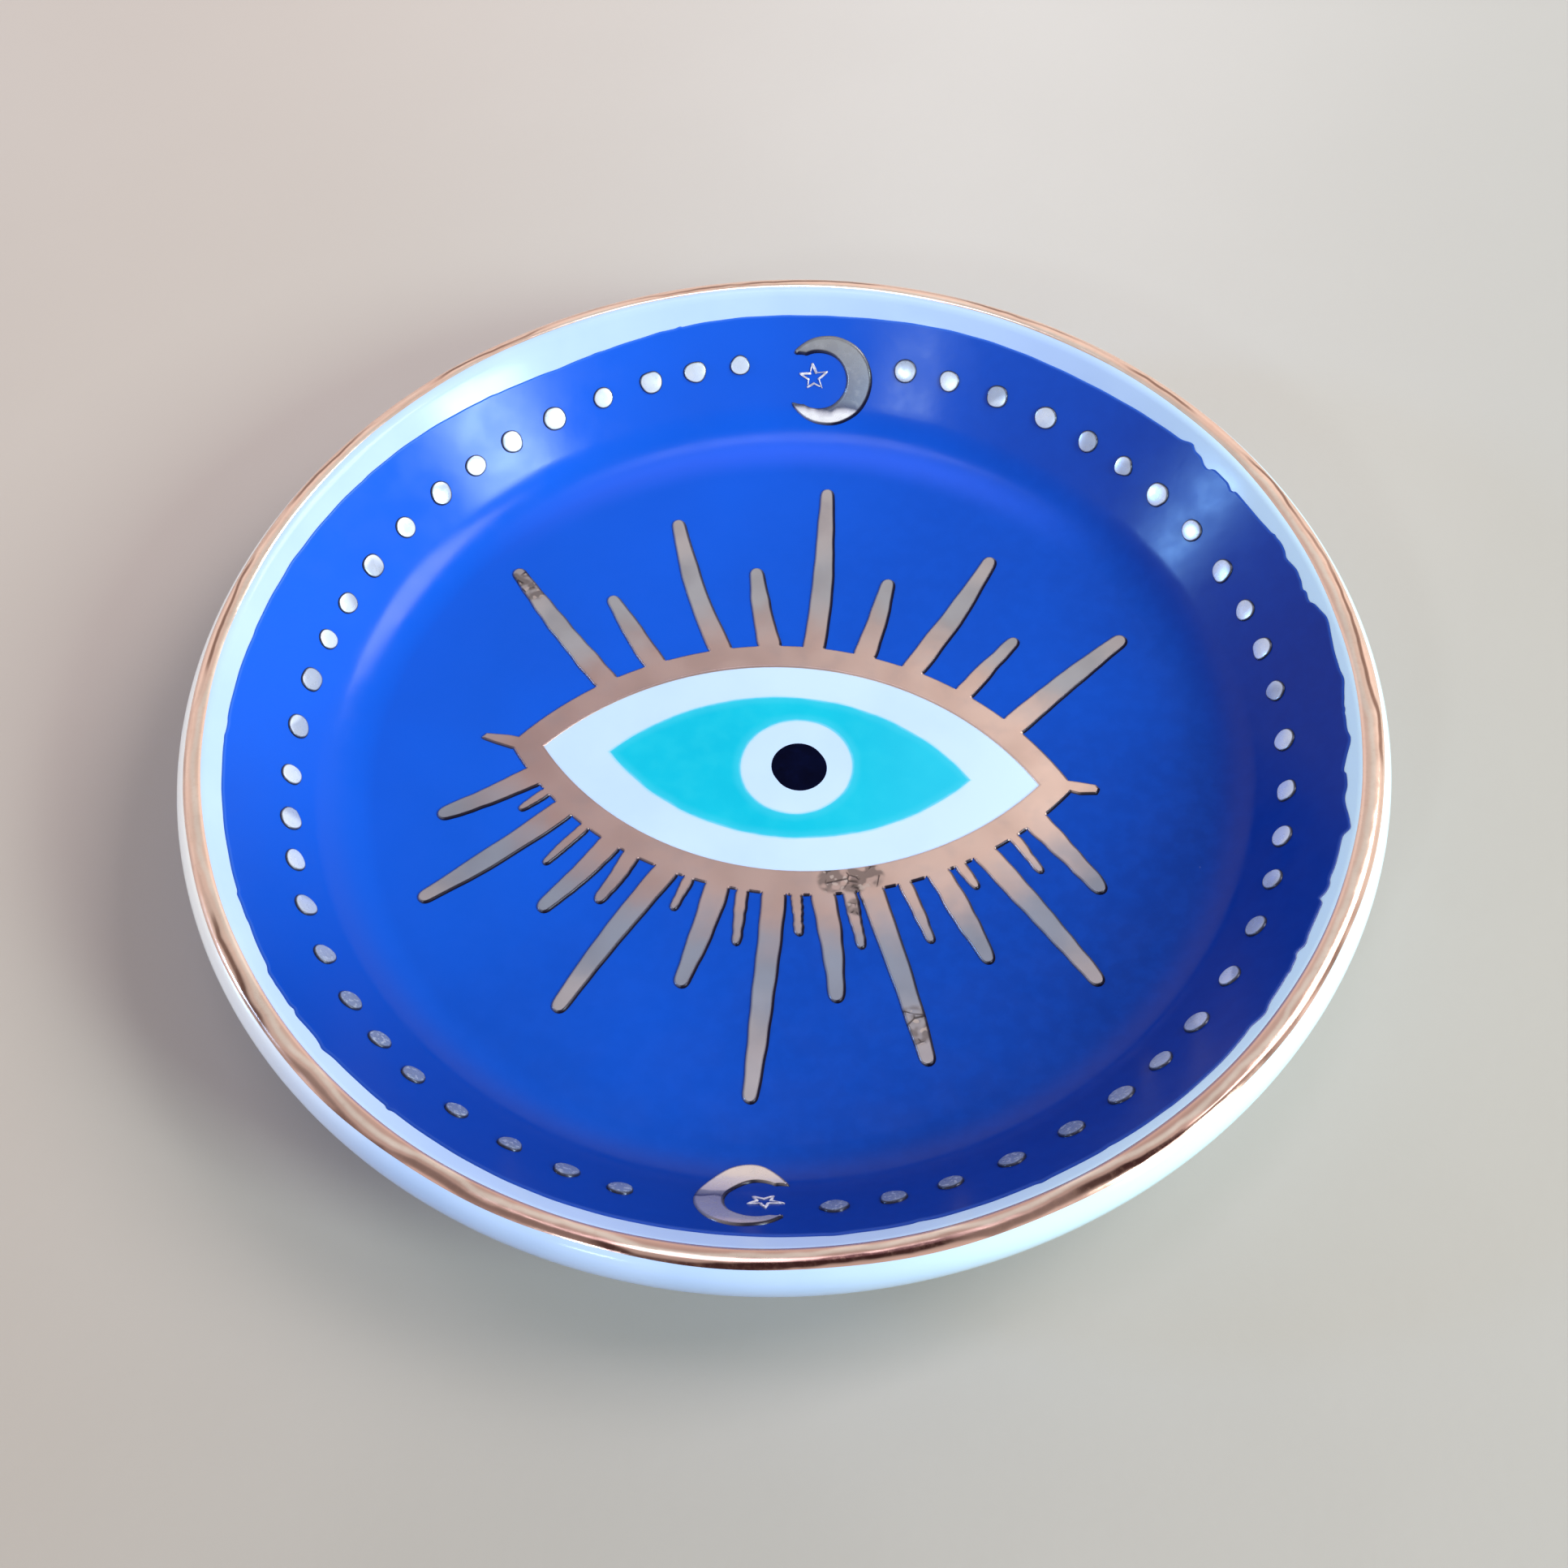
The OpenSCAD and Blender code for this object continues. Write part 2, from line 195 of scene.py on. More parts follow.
def area_of(loop):
    x, y = loop[:, 0], loop[:, 1]
    return 0.5 * np.sum(x * np.roll(y, -1) - y * np.roll(x, -1))


def resample(loop, step):
    """Points at an even spacing along a closed loop, with its sharp corners kept."""
    ahead = np.roll(loop, -1, axis=0) - loop
    behind = loop - np.roll(loop, 1, axis=0)
    turn = np.arctan2(behind[:, 0] * ahead[:, 1] - behind[:, 1] * ahead[:, 0], (behind * ahead).sum(1))
    corners = list(np.where(np.abs(turn) > 0.6)[0])
    if not corners:
        corners = [0]
    out = []
    for a, b in zip(corners, corners[1:] + [corners[0] + len(loop)]):
        part = loop[np.arange(a, b + 1) % len(loop)]
        along = np.concatenate([[0], np.cumsum(np.linalg.norm(np.diff(part, axis=0), axis=1))])
        n = max(1, int(round(along[-1] / step)))
        want = np.linspace(0, along[-1], n + 1)[:-1]
        out.append(np.column_stack([np.interp(want, along, part[:, 0]), np.interp(want, along, part[:, 1])]))
    return np.concatenate(out)


def soften(loop, times):
    """A closed loop with its kinks evened out."""
    for _ in range(times):
        loop = 0.5 * loop + 0.25 * (np.roll(loop, 1, axis=0) + np.roll(loop, -1, axis=0))
    return loop


def outward(loop):
    """Unit vectors that point out of the region on the left of a closed loop."""
    d = np.roll(loop, -1, axis=0) - np.roll(loop, 1, axis=0)
    n = np.column_stack([d[:, 1], -d[:, 0]])
    return n / np.maximum(np.linalg.norm(n, axis=1), 1e-12)[:, None]


def wander(loop, size, seed):
    """A loop shifted in and out by a smooth, small, hand-drawn error."""
    total = len_of(loop)
    along = np.concatenate([[0], np.cumsum(np.linalg.norm(np.diff(loop, axis=0), axis=1))]) / total
    rng = np.random.default_rng(seed)
    shift = np.zeros(len(loop))
    for k in (2, 3, 5, 8, 13):
        shift += rng.normal() / k ** 0.5 * np.sin(2 * math.pi * k * along + rng.uniform(0, 6.3))
    return loop + outward(loop) * (size * shift)[:, None]


# how a coat's edge rounds over: inset from the outline, height, tilt of the normal outwards, painted shade
# along the edge
EDGE = (
    (-0.13, -0.1, 85, 1.0),
    (-0.12, 0.30, 80, 1.0),
    (-0.06, 0.62, 55, 1.0),
    (0.03, 0.88, 26, 1.0),
    (0.09, 0.97, 8, 0.4),
    (0.16, 1.0, 0, 0.0),
)
FLUSH = ((0.0, 0.0, 0, 0), (0.0, 0.98, 0, 0), (0.03, 0.985, 0, 0))
SHADE_FACING = np.array([0.80, -0.60])  # the painted edge shade is darkest on the edges that face this way
INNER_EDGE = 0.3  # painted edge shade round a hole, as a share of that round the outside


def coat_piece(name, loops, base, thick, material, node_names, inside=None, edge=EDGE, flush=None):
    """A thin coat over the inner surface: rounded edges and a filled top.

    flush marks the points of the first loop where the coat runs on into another and has no edge.
    """
    points, normals, darkness, faces, rims = [], [], [], [], []
    count = 0
    for k, loop in enumerate(loops):
        out = outward(loop)
        free = np.ones(len(loop)) if flush is None or k else 1.0 - flush
        # painted shade along the coat's edge: darkest, and its dark skirt widest, on the outer edges that
        # face right and toward the near side; a hole's edge gets less of it
        edge_shade_share = free * np.clip(0.45 + 0.75 * out @ SHADE_FACING, 0.25, 1.0) * (1.0 if k == 0 else INNER_EDGE)
        spread = 1 + np.clip(out @ SHADE_FACING, 0, 1) * (1.0 if k == 0 else 0.0)
        rows = []
        for inset, height, tilt, edge_shade in edge:
            tilt = tilt * (1.0 if k == 0 else 0.5)
            width = spread if inset < 0 else 1.0
            p, up = on_surface(loop - out * (inset * MM * free * width)[:, None], 0)
            side = np.column_stack([out, np.zeros(len(out))])
            side -= up * (side * up).sum(1)[:, None]
            t = np.radians(tilt * free)[:, None]
            rise = height if height < 0 else height * free + (1 - free)
            points.append(p + up * (base + thick * np.broadcast_to(rise, len(p)))[:, None])
            normals.append(up * np.cos(t) + side * np.sin(t))
            darkness.append(edge_shade * edge_shade_share)
            rows.append(count + np.arange(len(p)))
            count += len(p)
        for low, high in zip(rows, rows[1:]):
            for i in range(len(low)):
                j = (i + 1) % len(low)
                faces.append((low[i], low[j], high[j], high[i]))
        rims.append((loop - out * (edge[-1][0] * MM * free)[:, None], rows[-1]))
    rings = [r[0] for r in rims]
    flat = np.concatenate(rings)
    index = np.concatenate([r[1] for r in rims])
    extra = np.zeros((0, 2)) if inside is None else inside
    extra = extra[[in_loops(q, rings, 0.12 * MM) for q in extra]] if len(extra) else extra
    toward_right_near = [Vector((float(x) / MM, float(y) / MM)) for x, y in np.concatenate([flat, extra])]
    edges, start = [], 0
    for ring in rings:
        n = len(ring)
        edges += [(start + i, start + (i + 1) % n) for i in range(n)]
        start += n
    verts, _, tris, origin, _, _ = delaunay_2d_cdt(toward_right_near, edges, [], 0, 1e-5)
    place, added = [], []
    for v, source in zip(verts, origin):
        if source and source[0] < len(index):
            place.append(int(index[source[0]]))
        else:
            place.append(count + len(added))
            added.append((v.x * MM, v.y * MM))
    if added:
        p, up = on_surface(np.array(added), base + thick * edge[-1][1])
        points.append(p)
        normals.append(up)
        darkness.append(np.zeros(len(p)))
    for tri in tris:
        centre = np.mean([(verts[i].x * MM, verts[i].y * MM) for i in tri], axis=0)
        if in_loops(centre, rings, 0):
            a, b, c = (place[i] for i in tri)
            if len({a, b, c}) == 3:
                faces.append((a, b, c))
    return mesh_object(name, points, faces, material, node_names, normals, dark=darkness)


def in_loops(q, loops, margin):
    """True if the point is inside an odd number of the loops, and further than margin from each."""
    inside = False
    for loop in loops:
        a, b = loop, np.roll(loop, -1, axis=0)
        cross = (a[:, 1] > q[1]) != (b[:, 1] > q[1])
        rise = np.where(b[:, 1] == a[:, 1], 1, b[:, 1] - a[:, 1])
        x = a[:, 0] + (q[1] - a[:, 1]) * (b[:, 0] - a[:, 0]) / rise
        if np.count_nonzero(cross & (q[0] < x)) % 2:
            inside = not inside
        if margin and np.hypot(a[:, 0] - q[0], a[:, 1] - q[1]).min() < margin:
            return False
    return inside


def strip(low, high, n):
    """Quads between two closed rows of n points."""
    return [(low + i, high + i, high + (i + 1) % n, low + (i + 1) % n) for i in range(n)]


def revolve(name, profile, material, node_names, closed=False):
    """A turned piece from a profile of (r, z) points."""
    around = 360
    profile = np.array(profile)
    angles = np.arange(around) * 2 * math.pi / around
    ring = np.column_stack([np.cos(angles), np.sin(angles)])
    points = []
    for r, z in profile:
        points.append(np.column_stack([ring * r, np.full(around, z)]))
    faces = []
    rows = len(profile)
    for k in range(rows if closed else rows - 1):
        faces += strip(k * around, ((k + 1) % rows) * around, around)
    return mesh_object(name, points, faces, material, node_names)


def arc(cx, cz, r, a0, a1, n):
    """Points along an arc, angles in degrees."""
    a = np.radians(np.linspace(a0, a1, n))
    return [(cx + r * math.cos(t), cz + r * math.sin(t)) for t in a]


def line(p, q, n):
    """Points from p towards q, without q."""
    return [(p[0] + (q[0] - p[0]) * i / n, p[1] + (q[1] - p[1]) * i / n) for i in range(n)]


# ---- material helpers
class Shader:
    """A material under construction: a Principled surface and short ways to add nodes."""

    def __init__(self, name):
        self.material = bpy.data.materials.new(name)
        self.material.use_nodes = True
        self.tree = self.material.node_tree
        self.surface = self.tree.nodes["Principled BSDF"]
        self.place = self.tree.nodes.new("ShaderNodeTexCoord").outputs["Object"]

    def node(self, kind, **values):
        made = self.tree.nodes.new(kind)
        for key, value in values.items():
            setattr(made, key, value)
        return made

    def link(self, source, target):
        self.tree.links.new(source, target)

    def put(self, socket, value):
        if isinstance(value, bpy.types.NodeSocket):
            self.link(value, socket)
        else:
            socket.default_value = value

    def noise(self, size, detail=3.0, rough=0.5):
        """Noise whose features are about size metres across."""
        made = self.node("ShaderNodeTexNoise")
        made.inputs["Scale"].default_value = 1 / size
        made.inputs["Detail"].default_value = detail
        made.inputs["Roughness"].default_value = rough
        self.link(self.place, made.inputs["Vector"])
        return made.outputs["Fac"]

    def vary(self, size, detail, low, high):
        """Noise spread over low to high."""
        return self.fit(self.noise(size, detail), 0.3, 0.7, low, high)

    def cells(self, size, feature="F1"):
        made = self.node("ShaderNodeTexVoronoi", feature=feature)
        made.inputs["Scale"].default_value = 1 / size
        self.link(self.place, made.inputs["Vector"])
        return made.outputs["Distance"]

    def ramp(self, source, *stops):
        """A colour ramp from (position, colour) pairs."""
        made = self.node("ShaderNodeValToRGB")
        while len(made.color_ramp.elements) < len(stops):
            made.color_ramp.elements.new(0.5)
        for element, (at, colour) in zip(made.color_ramp.elements, stops):
            element.position = at
            element.color = (*colour, 1)
        self.link(source, made.inputs["Fac"])
        return made.outputs["Color"]

    def fit(self, source, a, b, c, d, smooth=True):
        """Maps a to b onto c to d."""
        made = self.node("ShaderNodeMapRange", interpolation_type="SMOOTHSTEP" if smooth else "LINEAR")
        for name, value in zip(("From Min", "From Max", "To Min", "To Max"), (a, b, c, d)):
            made.inputs[name].default_value = value
        self.link(source, made.inputs["Value"])
        return made.outputs["Result"]

    def maths(self, operation, a, b=None):
        made = self.node("ShaderNodeMath", operation=operation)
        self.put(made.inputs[0], a)
        if b is not None:
            self.put(made.inputs[1], b)
        return made.outputs[0]

    def times(self, a, b):
        return self.maths("MULTIPLY", a, b)

    def mix(self, factor, a, b):
        made = self.node("ShaderNodeMix", data_type="RGBA")
        self.put(made.inputs["Factor"], factor)
        self.put(made.inputs["A"], a if isinstance(a, bpy.types.NodeSocket) else (*a, 1))
        self.put(made.inputs["B"], b if isinstance(b, bpy.types.NodeSocket) else (*b, 1))
        return made.outputs["Result"]

    def attribute(self, name):
        return self.node("ShaderNodeAttribute", attribute_name=name).outputs["Fac"]

    def plan_gap(self, x, y):
        """Distance in plan from a point of the eye's own axes."""
        flat = self.node("ShaderNodeVectorMath", operation="MULTIPLY")
        self.link(self.place, flat.inputs[0])
        flat.inputs[1].default_value = (1, 1, 0)
        made = self.node("ShaderNodeVectorMath", operation="DISTANCE")
        self.link(flat.outputs["Vector"], made.inputs[0])
        made.inputs[1].default_value = (*eye_point(x, y), 0)
        return made.outputs["Value"]

    def from_axis(self):
        """Distance in plan from the dish's axis, near enough for the eye's small turn."""
        return self.plan_gap(-EYE_X, -EYE_Y)

    def leaf_depth(self, half_length, half_height):
        """Depth inside the pointed oval of these half sizes, negative outside it."""
        r = (half_length**2 + half_height**2) / (2 * half_height)
        low = self.maths("SUBTRACT", r, self.plan_gap(0, half_height - r))
        high = self.maths("SUBTRACT", r, self.plan_gap(0, r - half_height))
        return self.maths("MINIMUM", low, high)

    def along(self, x, y):
        """Distance along a plan direction, in metres."""
        made = self.node("ShaderNodeVectorMath", operation="DOT_PRODUCT")
        self.link(self.place, made.inputs[0])
        made.inputs[1].default_value = (x, y, 0)
        return made.outputs["Value"]

    def near(self, point, full, none):
        """1 within full metres of a point, falling to 0 at none metres."""
        made = self.node("ShaderNodeVectorMath", operation="DISTANCE")
        self.link(self.place, made.inputs[0])
        made.inputs[1].default_value = point
        return self.fit(made.outputs["Value"], full, none, 1.0, 0.0)

    def bump(self, height, depth, below=None):
        """Relief of a depth in metres."""
        made = self.node("ShaderNodeBump")
        made.inputs["Strength"].default_value = 1.0
        made.inputs["Distance"].default_value = depth
        self.link(height, made.inputs["Height"])
        if below is not None:
            self.link(below, made.inputs["Normal"])
        return made.outputs["Normal"]

    def finish(self, colour, rough, normal, **fixed):
        self.put(self.surface.inputs["Base Color"], colour)
        self.put(self.surface.inputs["Roughness"], rough)
        self.link(normal, self.surface.inputs["Normal"])
        for key, value in fixed.items():
            self.surface.inputs[key].default_value = value
        return self.material


def glaze_relief(s, wave=0.000012):
    """Slow waves and fine orange peel in a fired glaze."""
    slow = s.bump(s.noise(9 * MM, 2), wave)
    return s.bump(s.noise(0.9 * MM, 2), 0.000004, slow)


def white_glaze(name, low, high, stained=False):
    """White gloss glaze with faint cloudiness and a few iron specks; painted light makes it lighter and
    bluer towards the right, and warm on the outer lip at the left.
    """
    s = Shader(name)
    cloud = s.noise(14 * MM, 4)
    colour = s.ramp(cloud, (0.35, low), (0.65, high))
    specks = s.fit(s.cells(3.4 * MM), 0.03, 0.055, 1.0, 0.0)
    rare = s.fit(s.noise(4 * MM, 1), 0.66, 0.70, 0.0, 0.4)
    colour = s.mix(s.times(specks, rare), colour, (0.45, 0.40, 0.34))
    if stained:
        wobble = s.vary(3 * MM, 3, -0.08 * MM, 0.08 * MM)
        leaf = s.maths("ADD", s.leaf_depth(*IRIS), wobble)
        ring = s.maths("ADD", s.maths("SUBTRACT", s.plan_gap(RING_AT, 0), RING_R), wobble)
        outside = s.fit(leaf, -0.28 * MM, 0.05 * MM, 0.0, 0.5)
        inside = s.fit(ring, -0.28 * MM, 0.05 * MM, 0.0, 0.5)
        near_ring = s.maths("ADD", inside, s.fit(ring, 0, 1 * MM, 0, 0.5))
        colour = s.mix(s.maths("MINIMUM", outside, near_ring), colour, AQUA)
    # painted light: the white lighter and bluer towards the right
    painted_light_right = s.fit(s.along(1.0, -0.2), 14 * MM, 52 * MM, 0.0, 0.75)
    colour = s.mix(painted_light_right, colour, (0.70, 0.92, 1.0))
    # painted light: the outer lip warm and light on the left side
    painted_warm_light_left = s.fit(s.from_axis(), DISH_R - 2.2 * MM, DISH_R - 1.2 * MM, 0.0, 1.0)
    painted_warm_light_left = s.times(painted_warm_light_left, s.fit(s.along(-1.0, 0.2), 15 * MM, 50 * MM, 0.0, 0.95))
    colour = s.mix(painted_warm_light_left, colour, (1.0, 0.94, 0.86))
    rough = s.vary(5 * MM, 3, 0.10, 0.18)
    return s.finish(colour, rough, glaze_relief(s), **{"IOR": 1.5, "Specular IOR Level": 0.2})


def bare_clay():
    """Unglazed fired clay: fine grain, sand and a few dark grogs."""
    s = Shader("bare_clay")
    grain = s.noise(0.5 * MM, 6, 0.65)
    colour = s.ramp(grain, (0.3, (0.47, 0.38, 0.29)), (0.7, (0.66, 0.57, 0.46)))
    grog = s.fit(s.cells(1.3 * MM), 0.08, 0.14, 0.6, 0.0)
    colour = s.mix(grog, colour, (0.25, 0.18, 0.13))
    rough = s.fit(grain, 0.3, 0.7, 0.75, 0.95)
    return s.finish(colour, rough, s.bump(grain, 0.00005))


def cobalt_glaze():
    """Deep cobalt gloss glaze: tone darker towards the right and the near side with a slow wander, fine
    mottling, thin at its outer edge; a painted highlight band on the far side of the round, and painted
    shade on the wall, most on the near and right sides.
    """
    s = Shader("cobalt_glaze")
    # tone darker towards the right and the near side
    toward_right_near = s.fit(s.along(0.80, -0.50), -52 * MM, 52 * MM, 0.0, 1.0, False)
    drift = s.maths("ADD", toward_right_near, s.vary(34 * MM, 3, -0.10, 0.10))
    bright, middle, dim = (0.0025, 0.095, 0.66), (0.0008, 0.062, 0.46), (0.0004, 0.034, 0.28)
    colour = s.ramp(drift, (0.05, bright), (0.5, middle), (0.95, dim))
    mottle = s.fit(s.noise(1.6 * MM, 5, 0.6), 0.35, 0.7, 0.0, 0.14)
    colour = s.mix(mottle, colour, (0.004, 0.085, 0.60))
    specks = s.fit(s.cells(6.5 * MM), 0.012, 0.022, 1.0, 0.0)
    rare = s.fit(s.noise(7 * MM, 1), 0.60, 0.63, 0.0, 0.8)
    colour = s.mix(s.times(specks, rare), colour, (0.65, 0.75, 0.9))
    thin = s.fit(s.attribute("edge"), 0.0, 0.30, 0.30, 0.0)
    colour = s.mix(thin, colour, (0.10, 0.26, 0.80))
    # painted highlight: a lighter band along the round between floor and wall on the far side
    turn = s.fit(s.from_axis(), FLOOR_R - 3 * MM, FLOOR_R + 0.8 * MM, 0.0, 1.0)
    turn = s.times(turn, s.fit(s.from_axis(), FLOOR_R + 0.8 * MM, FLOOR_R + 4 * MM, 1.0, 0.0))
    turn = s.times(turn, s.fit(s.along(-0.1, 1.0), 25 * MM, 44 * MM, 0.0, 0.45))
    colour = s.mix(turn, colour, (0.045, 0.13, 0.85))
    # painted shade: the wall darker, most on the near and right sides
    deep = s.fit(s.from_axis(), FLOOR_R + 1 * MM, FLOOR_R + 5 * MM, 0.0, 1.0)
    deep = s.times(deep, s.fit(s.along(-0.5, 0.86), -36 * MM, 42 * MM, 0.62, 0.0))
    colour = s.mix(deep, colour, (0.0, 0.018, 0.24))
    rough = s.vary(4 * MM, 4, 0.17, 0.25)
    relief = glaze_relief(s, 0.00002)
    return s.finish(colour, rough, relief, **{"IOR": 1.5, "Specular IOR Level": 0.22})


AQUA = (0.06, 0.52, 0.70)


def turquoise_glaze():
    """Turquoise enamel that thins to milky blue where it meets the white."""
    s = Shader("turquoise_glaze")
    drift = s.noise(9 * MM, 4)
    colour = s.ramp(drift, (0.3, (0.0, 0.42, 0.60)), (0.7, (0.003, 0.47, 0.64)))
    streak = s.fit(s.noise(2.2 * MM, 4), 0.4, 0.75, 0.0, 0.25)
    colour = s.mix(streak, colour, (0.02, 0.50, 0.64))
    colour = s.mix(s.fit(s.along(1.0, 0.0), 2 * MM, 18 * MM, 0.0, 0.5), colour, (0.03, 0.47, 0.68))
    wobble = s.vary(3 * MM, 3, -0.1 * MM, 0.1 * MM)
    leaf = s.leaf_depth(*IRIS)
    ring = s.maths("SUBTRACT", s.plan_gap(RING_AT, 0), RING_R)
    depth = s.maths("ADD", s.maths("MINIMUM", leaf, ring), wobble)
    colour = s.mix(s.fit(depth, 0.2 * MM, 1.2 * MM, 0.35, 0.0), colour, AQUA)
    colour = s.mix(s.fit(depth, -0.1 * MM, 0.28 * MM, 0.55, 0.0), colour, (0.28, 0.58, 0.80))
    rough = s.vary(4 * MM, 3, 0.10, 0.18)
    return s.finish(colour, rough, glaze_relief(s), **{"IOR": 1.5, "Specular IOR Level": 0.25})


def navy_enamel():
    """Near-black navy enamel with a faint blue cast at its edge."""
    s = Shader("navy_enamel")
    colour = s.ramp(s.noise(2 * MM, 3), (0.3, (0.0006, 0.001, 0.008)), (0.7, (0.001, 0.002, 0.016)))
    pale = s.fit(s.noise(0.8 * MM, 4), 0.5, 0.8, 0.0, 0.3)
    colour = s.mix(pale, colour, (0.002, 0.004, 0.03))
    rough = s.vary(3 * MM, 3, 0.12, 0.2)
    return s.finish(colour, rough, glaze_relief(s), **{"IOR": 1.45, "Specular IOR Level": 0.06})


def lustre(name, creases):
    """Fired metal lustre: rosy on the eyelid, greyer out along the lashes, rosy at the longest tips; the
    eyelid has a painted sheen, lighter to the right and darker to the left, with painted glints in its
    crinkled spots and painted shade on its edges.
    """
    s = Shader(name)
    patch = s.vary(5 * MM, 3, -1.2 * MM, 1.2 * MM)
    beyond = s.maths("ADD", s.leaf_depth(29.7 * MM, 15.5 * MM), patch)
    # painted sheen: the eyelid lighter towards the right, darker towards the left
    painted_sheen_right = s.fit(s.along(1.0, 0.15), -28 * MM, 30 * MM, 0.0, 1.0, False)
    dim, rosy, bright = (0.46, 0.30, 0.285), (0.56, 0.385, 0.35), (0.90, 0.62, 0.52)
    lid_tone = s.ramp(painted_sheen_right, (0.0, dim), (0.5, rosy), (1.0, bright))
    side = s.fit(s.along(0.0, 1.0), -18 * MM, 16 * MM, 0.0, 1.0)
    lash_tone = s.mix(side, (0.30, 0.32, 0.41), (0.43, 0.41, 0.44))
    colour = s.mix(s.fit(beyond, -9 * MM, 0.5 * MM, 1.0, 0.0), lid_tone, lash_tone)
    colour = s.mix(s.fit(beyond, -17 * MM, -11 * MM, 0.55, 0.0), colour, (0.56, 0.46, 0.44))
    colour = s.mix(s.fit(s.noise(2.6 * MM, 2), 0.45, 0.8, 0.0, 0.18), colour, (0.30, 0.29, 0.33))
    rough = s.vary(2.5 * MM, 3, 0.28, 0.36)
    total = None
    for point, size in creases:
        spot = s.near(point, size * 0.7, size)
        total = spot if total is None else s.maths("MAXIMUM", total, spot)
    fold = s.fit(s.cells(1.9 * MM, "DISTANCE_TO_EDGE"), 0.0, 0.07, 1.0, 0.0)
    broken = s.fit(s.noise(1.3 * MM, 1), 0.44, 0.56, 0.0, 1.0)
    crease = s.times(total, s.times(fold, broken))
    dull = s.fit(s.noise(1.4 * MM, 1), 0.38, 0.52, 0.15, 0.75)
    colour = s.mix(s.times(total, dull), colour, (0.15, 0.115, 0.11))
    # painted glints: lighter specks in the crinkled spots
    painted_glint = s.fit(s.noise(0.8 * MM, 1), 0.60, 0.66, 0.0, 0.7)
    colour = s.mix(s.times(total, painted_glint), colour, (0.62, 0.50, 0.46))
    colour = s.mix(s.times(crease, 0.85), colour, (0.03, 0.02, 0.02))
    # painted shade along the edges, from the pieces' dark attribute
    colour = s.mix(s.attribute("dark"), colour, (0.014, 0.009, 0.022))
    s.put(s.surface.inputs["Metallic"], s.fit(patch, -1.2 * MM, 1.2 * MM, 0.5, 0.66))
    relief = s.bump(s.noise(4 * MM, 1), 0.000008)
    return s.finish(colour, rough, s.bump(crease, 0.00002, relief))


def moon_lustre():
    """Lustre of the moons and stars, with painted reflections: rosy white toward the floor, a dark band,
    then pewter up the wall.
    """
    s = Shader("moon_lustre")
    wobble = s.vary(3 * MM, 2, -0.3 * MM, 0.3 * MM)
    # painted reflections: bands by distance from the axis, one ramp for each moon
    rise = s.fit(s.maths("ADD", s.from_axis(), wobble), 46.5 * MM, 54.5 * MM, 0.0, 1.0, False)
    bottom_moon_painted_reflection = s.ramp(
        rise,
        (0.27, (0.74, 0.63, 0.59)),
        (0.31, (0.30, 0.28, 0.32)),
        (0.40, (0.15, 0.14, 0.19)),
        (0.43, (0.04, 0.035, 0.07)),
        (0.46, (0.31, 0.29, 0.36)),
        (0.84, (0.38, 0.36, 0.44)),
        (0.92, (0.58, 0.48, 0.50)),
    )
    top_moon_painted_reflection = s.ramp(
        rise,
        (0.15, (0.96, 0.92, 0.98)),
        (0.19, (0.62, 0.58, 0.66)),
        (0.22, (0.09, 0.10, 0.17)),
        (0.30, (0.17, 0.19, 0.26)),
        (0.55, (0.20, 0.21, 0.27)),
        (0.90, (0.29, 0.28, 0.30)),
    )
    colour = s.mix(s.fit(s.along(0.0, 1.0), -1 * MM, 1 * MM, 0.0, 1.0), bottom_moon_painted_reflection, top_moon_painted_reflection)
    colour = s.mix(s.fit(s.noise(0.9 * MM, 3), 0.5, 0.75, 0.0, 0.2), colour, (0.52, 0.50, 0.54))
    # painted shade along the edges, from the pieces' dark attribute
    colour = s.mix(s.attribute("dark"), colour, (0.014, 0.012, 0.03))
    rough = s.vary(1.2 * MM, 2, 0.22, 0.32)
    return s.finish(colour, rough, s.bump(s.noise(3 * MM, 1), 0.000006), Metallic=0.35)


def star_lustre():
    """Pale lustre line of the stars, thin in places."""
    s = Shader("star_lustre")
    colour = s.ramp(s.noise(0.7 * MM, 2), (0.35, (0.42, 0.40, 0.52)), (0.6, (0.84, 0.80, 0.86)))
    rough = s.vary(0.5 * MM, 2, 0.25, 0.4)
    return s.finish(colour, rough, s.bump(s.noise(0.4 * MM, 1), 0.000002), Metallic=0.3)


def silver_lustre():
    """Milky silver lustre of the dots: a painted dark reflection on the near side of the dish, and greyer on
    a dot here and there.
    """
    s = Shader("silver_lustre")
    cloud = s.noise(1.6 * MM, 2)
    colour = s.ramp(cloud, (0.3, (0.58, 0.64, 0.80)), (0.7, (0.74, 0.79, 0.92)))
    # painted reflection: the dots dark blue-grey on the near side
    painted_reflection_near = s.fit(s.along(0.1, 1.0), -40 * MM, -20 * MM, 0.82, 0.0)
    odd = s.fit(s.noise(7 * MM, 1), 0.56, 0.62, 0.0, 0.45)
    colour = s.mix(s.maths("MAXIMUM", painted_reflection_near, odd), colour, (0.12, 0.16, 0.29))
    # lighter flecks within that painted near-side reflection
    fleck = s.times(painted_reflection_near, s.fit(s.noise(0.35 * MM, 2), 0.55, 0.62, 0.0, 0.6))
    colour = s.mix(fleck, colour, (0.62, 0.66, 0.74))
    # painted shade in the dark rim of each dot
    colour = s.mix(s.times(s.attribute("dark"), 0.95), colour, (0.008, 0.010, 0.04))
    s.put(s.surface.inputs["Metallic"], s.fit(cloud, 0.3, 0.7, 0.30, 0.45))
    rough = s.vary(1.0 * MM, 2, 0.22, 0.32)
    return s.finish(colour, rough, s.bump(s.noise(2.2 * MM, 1), 0.000002))


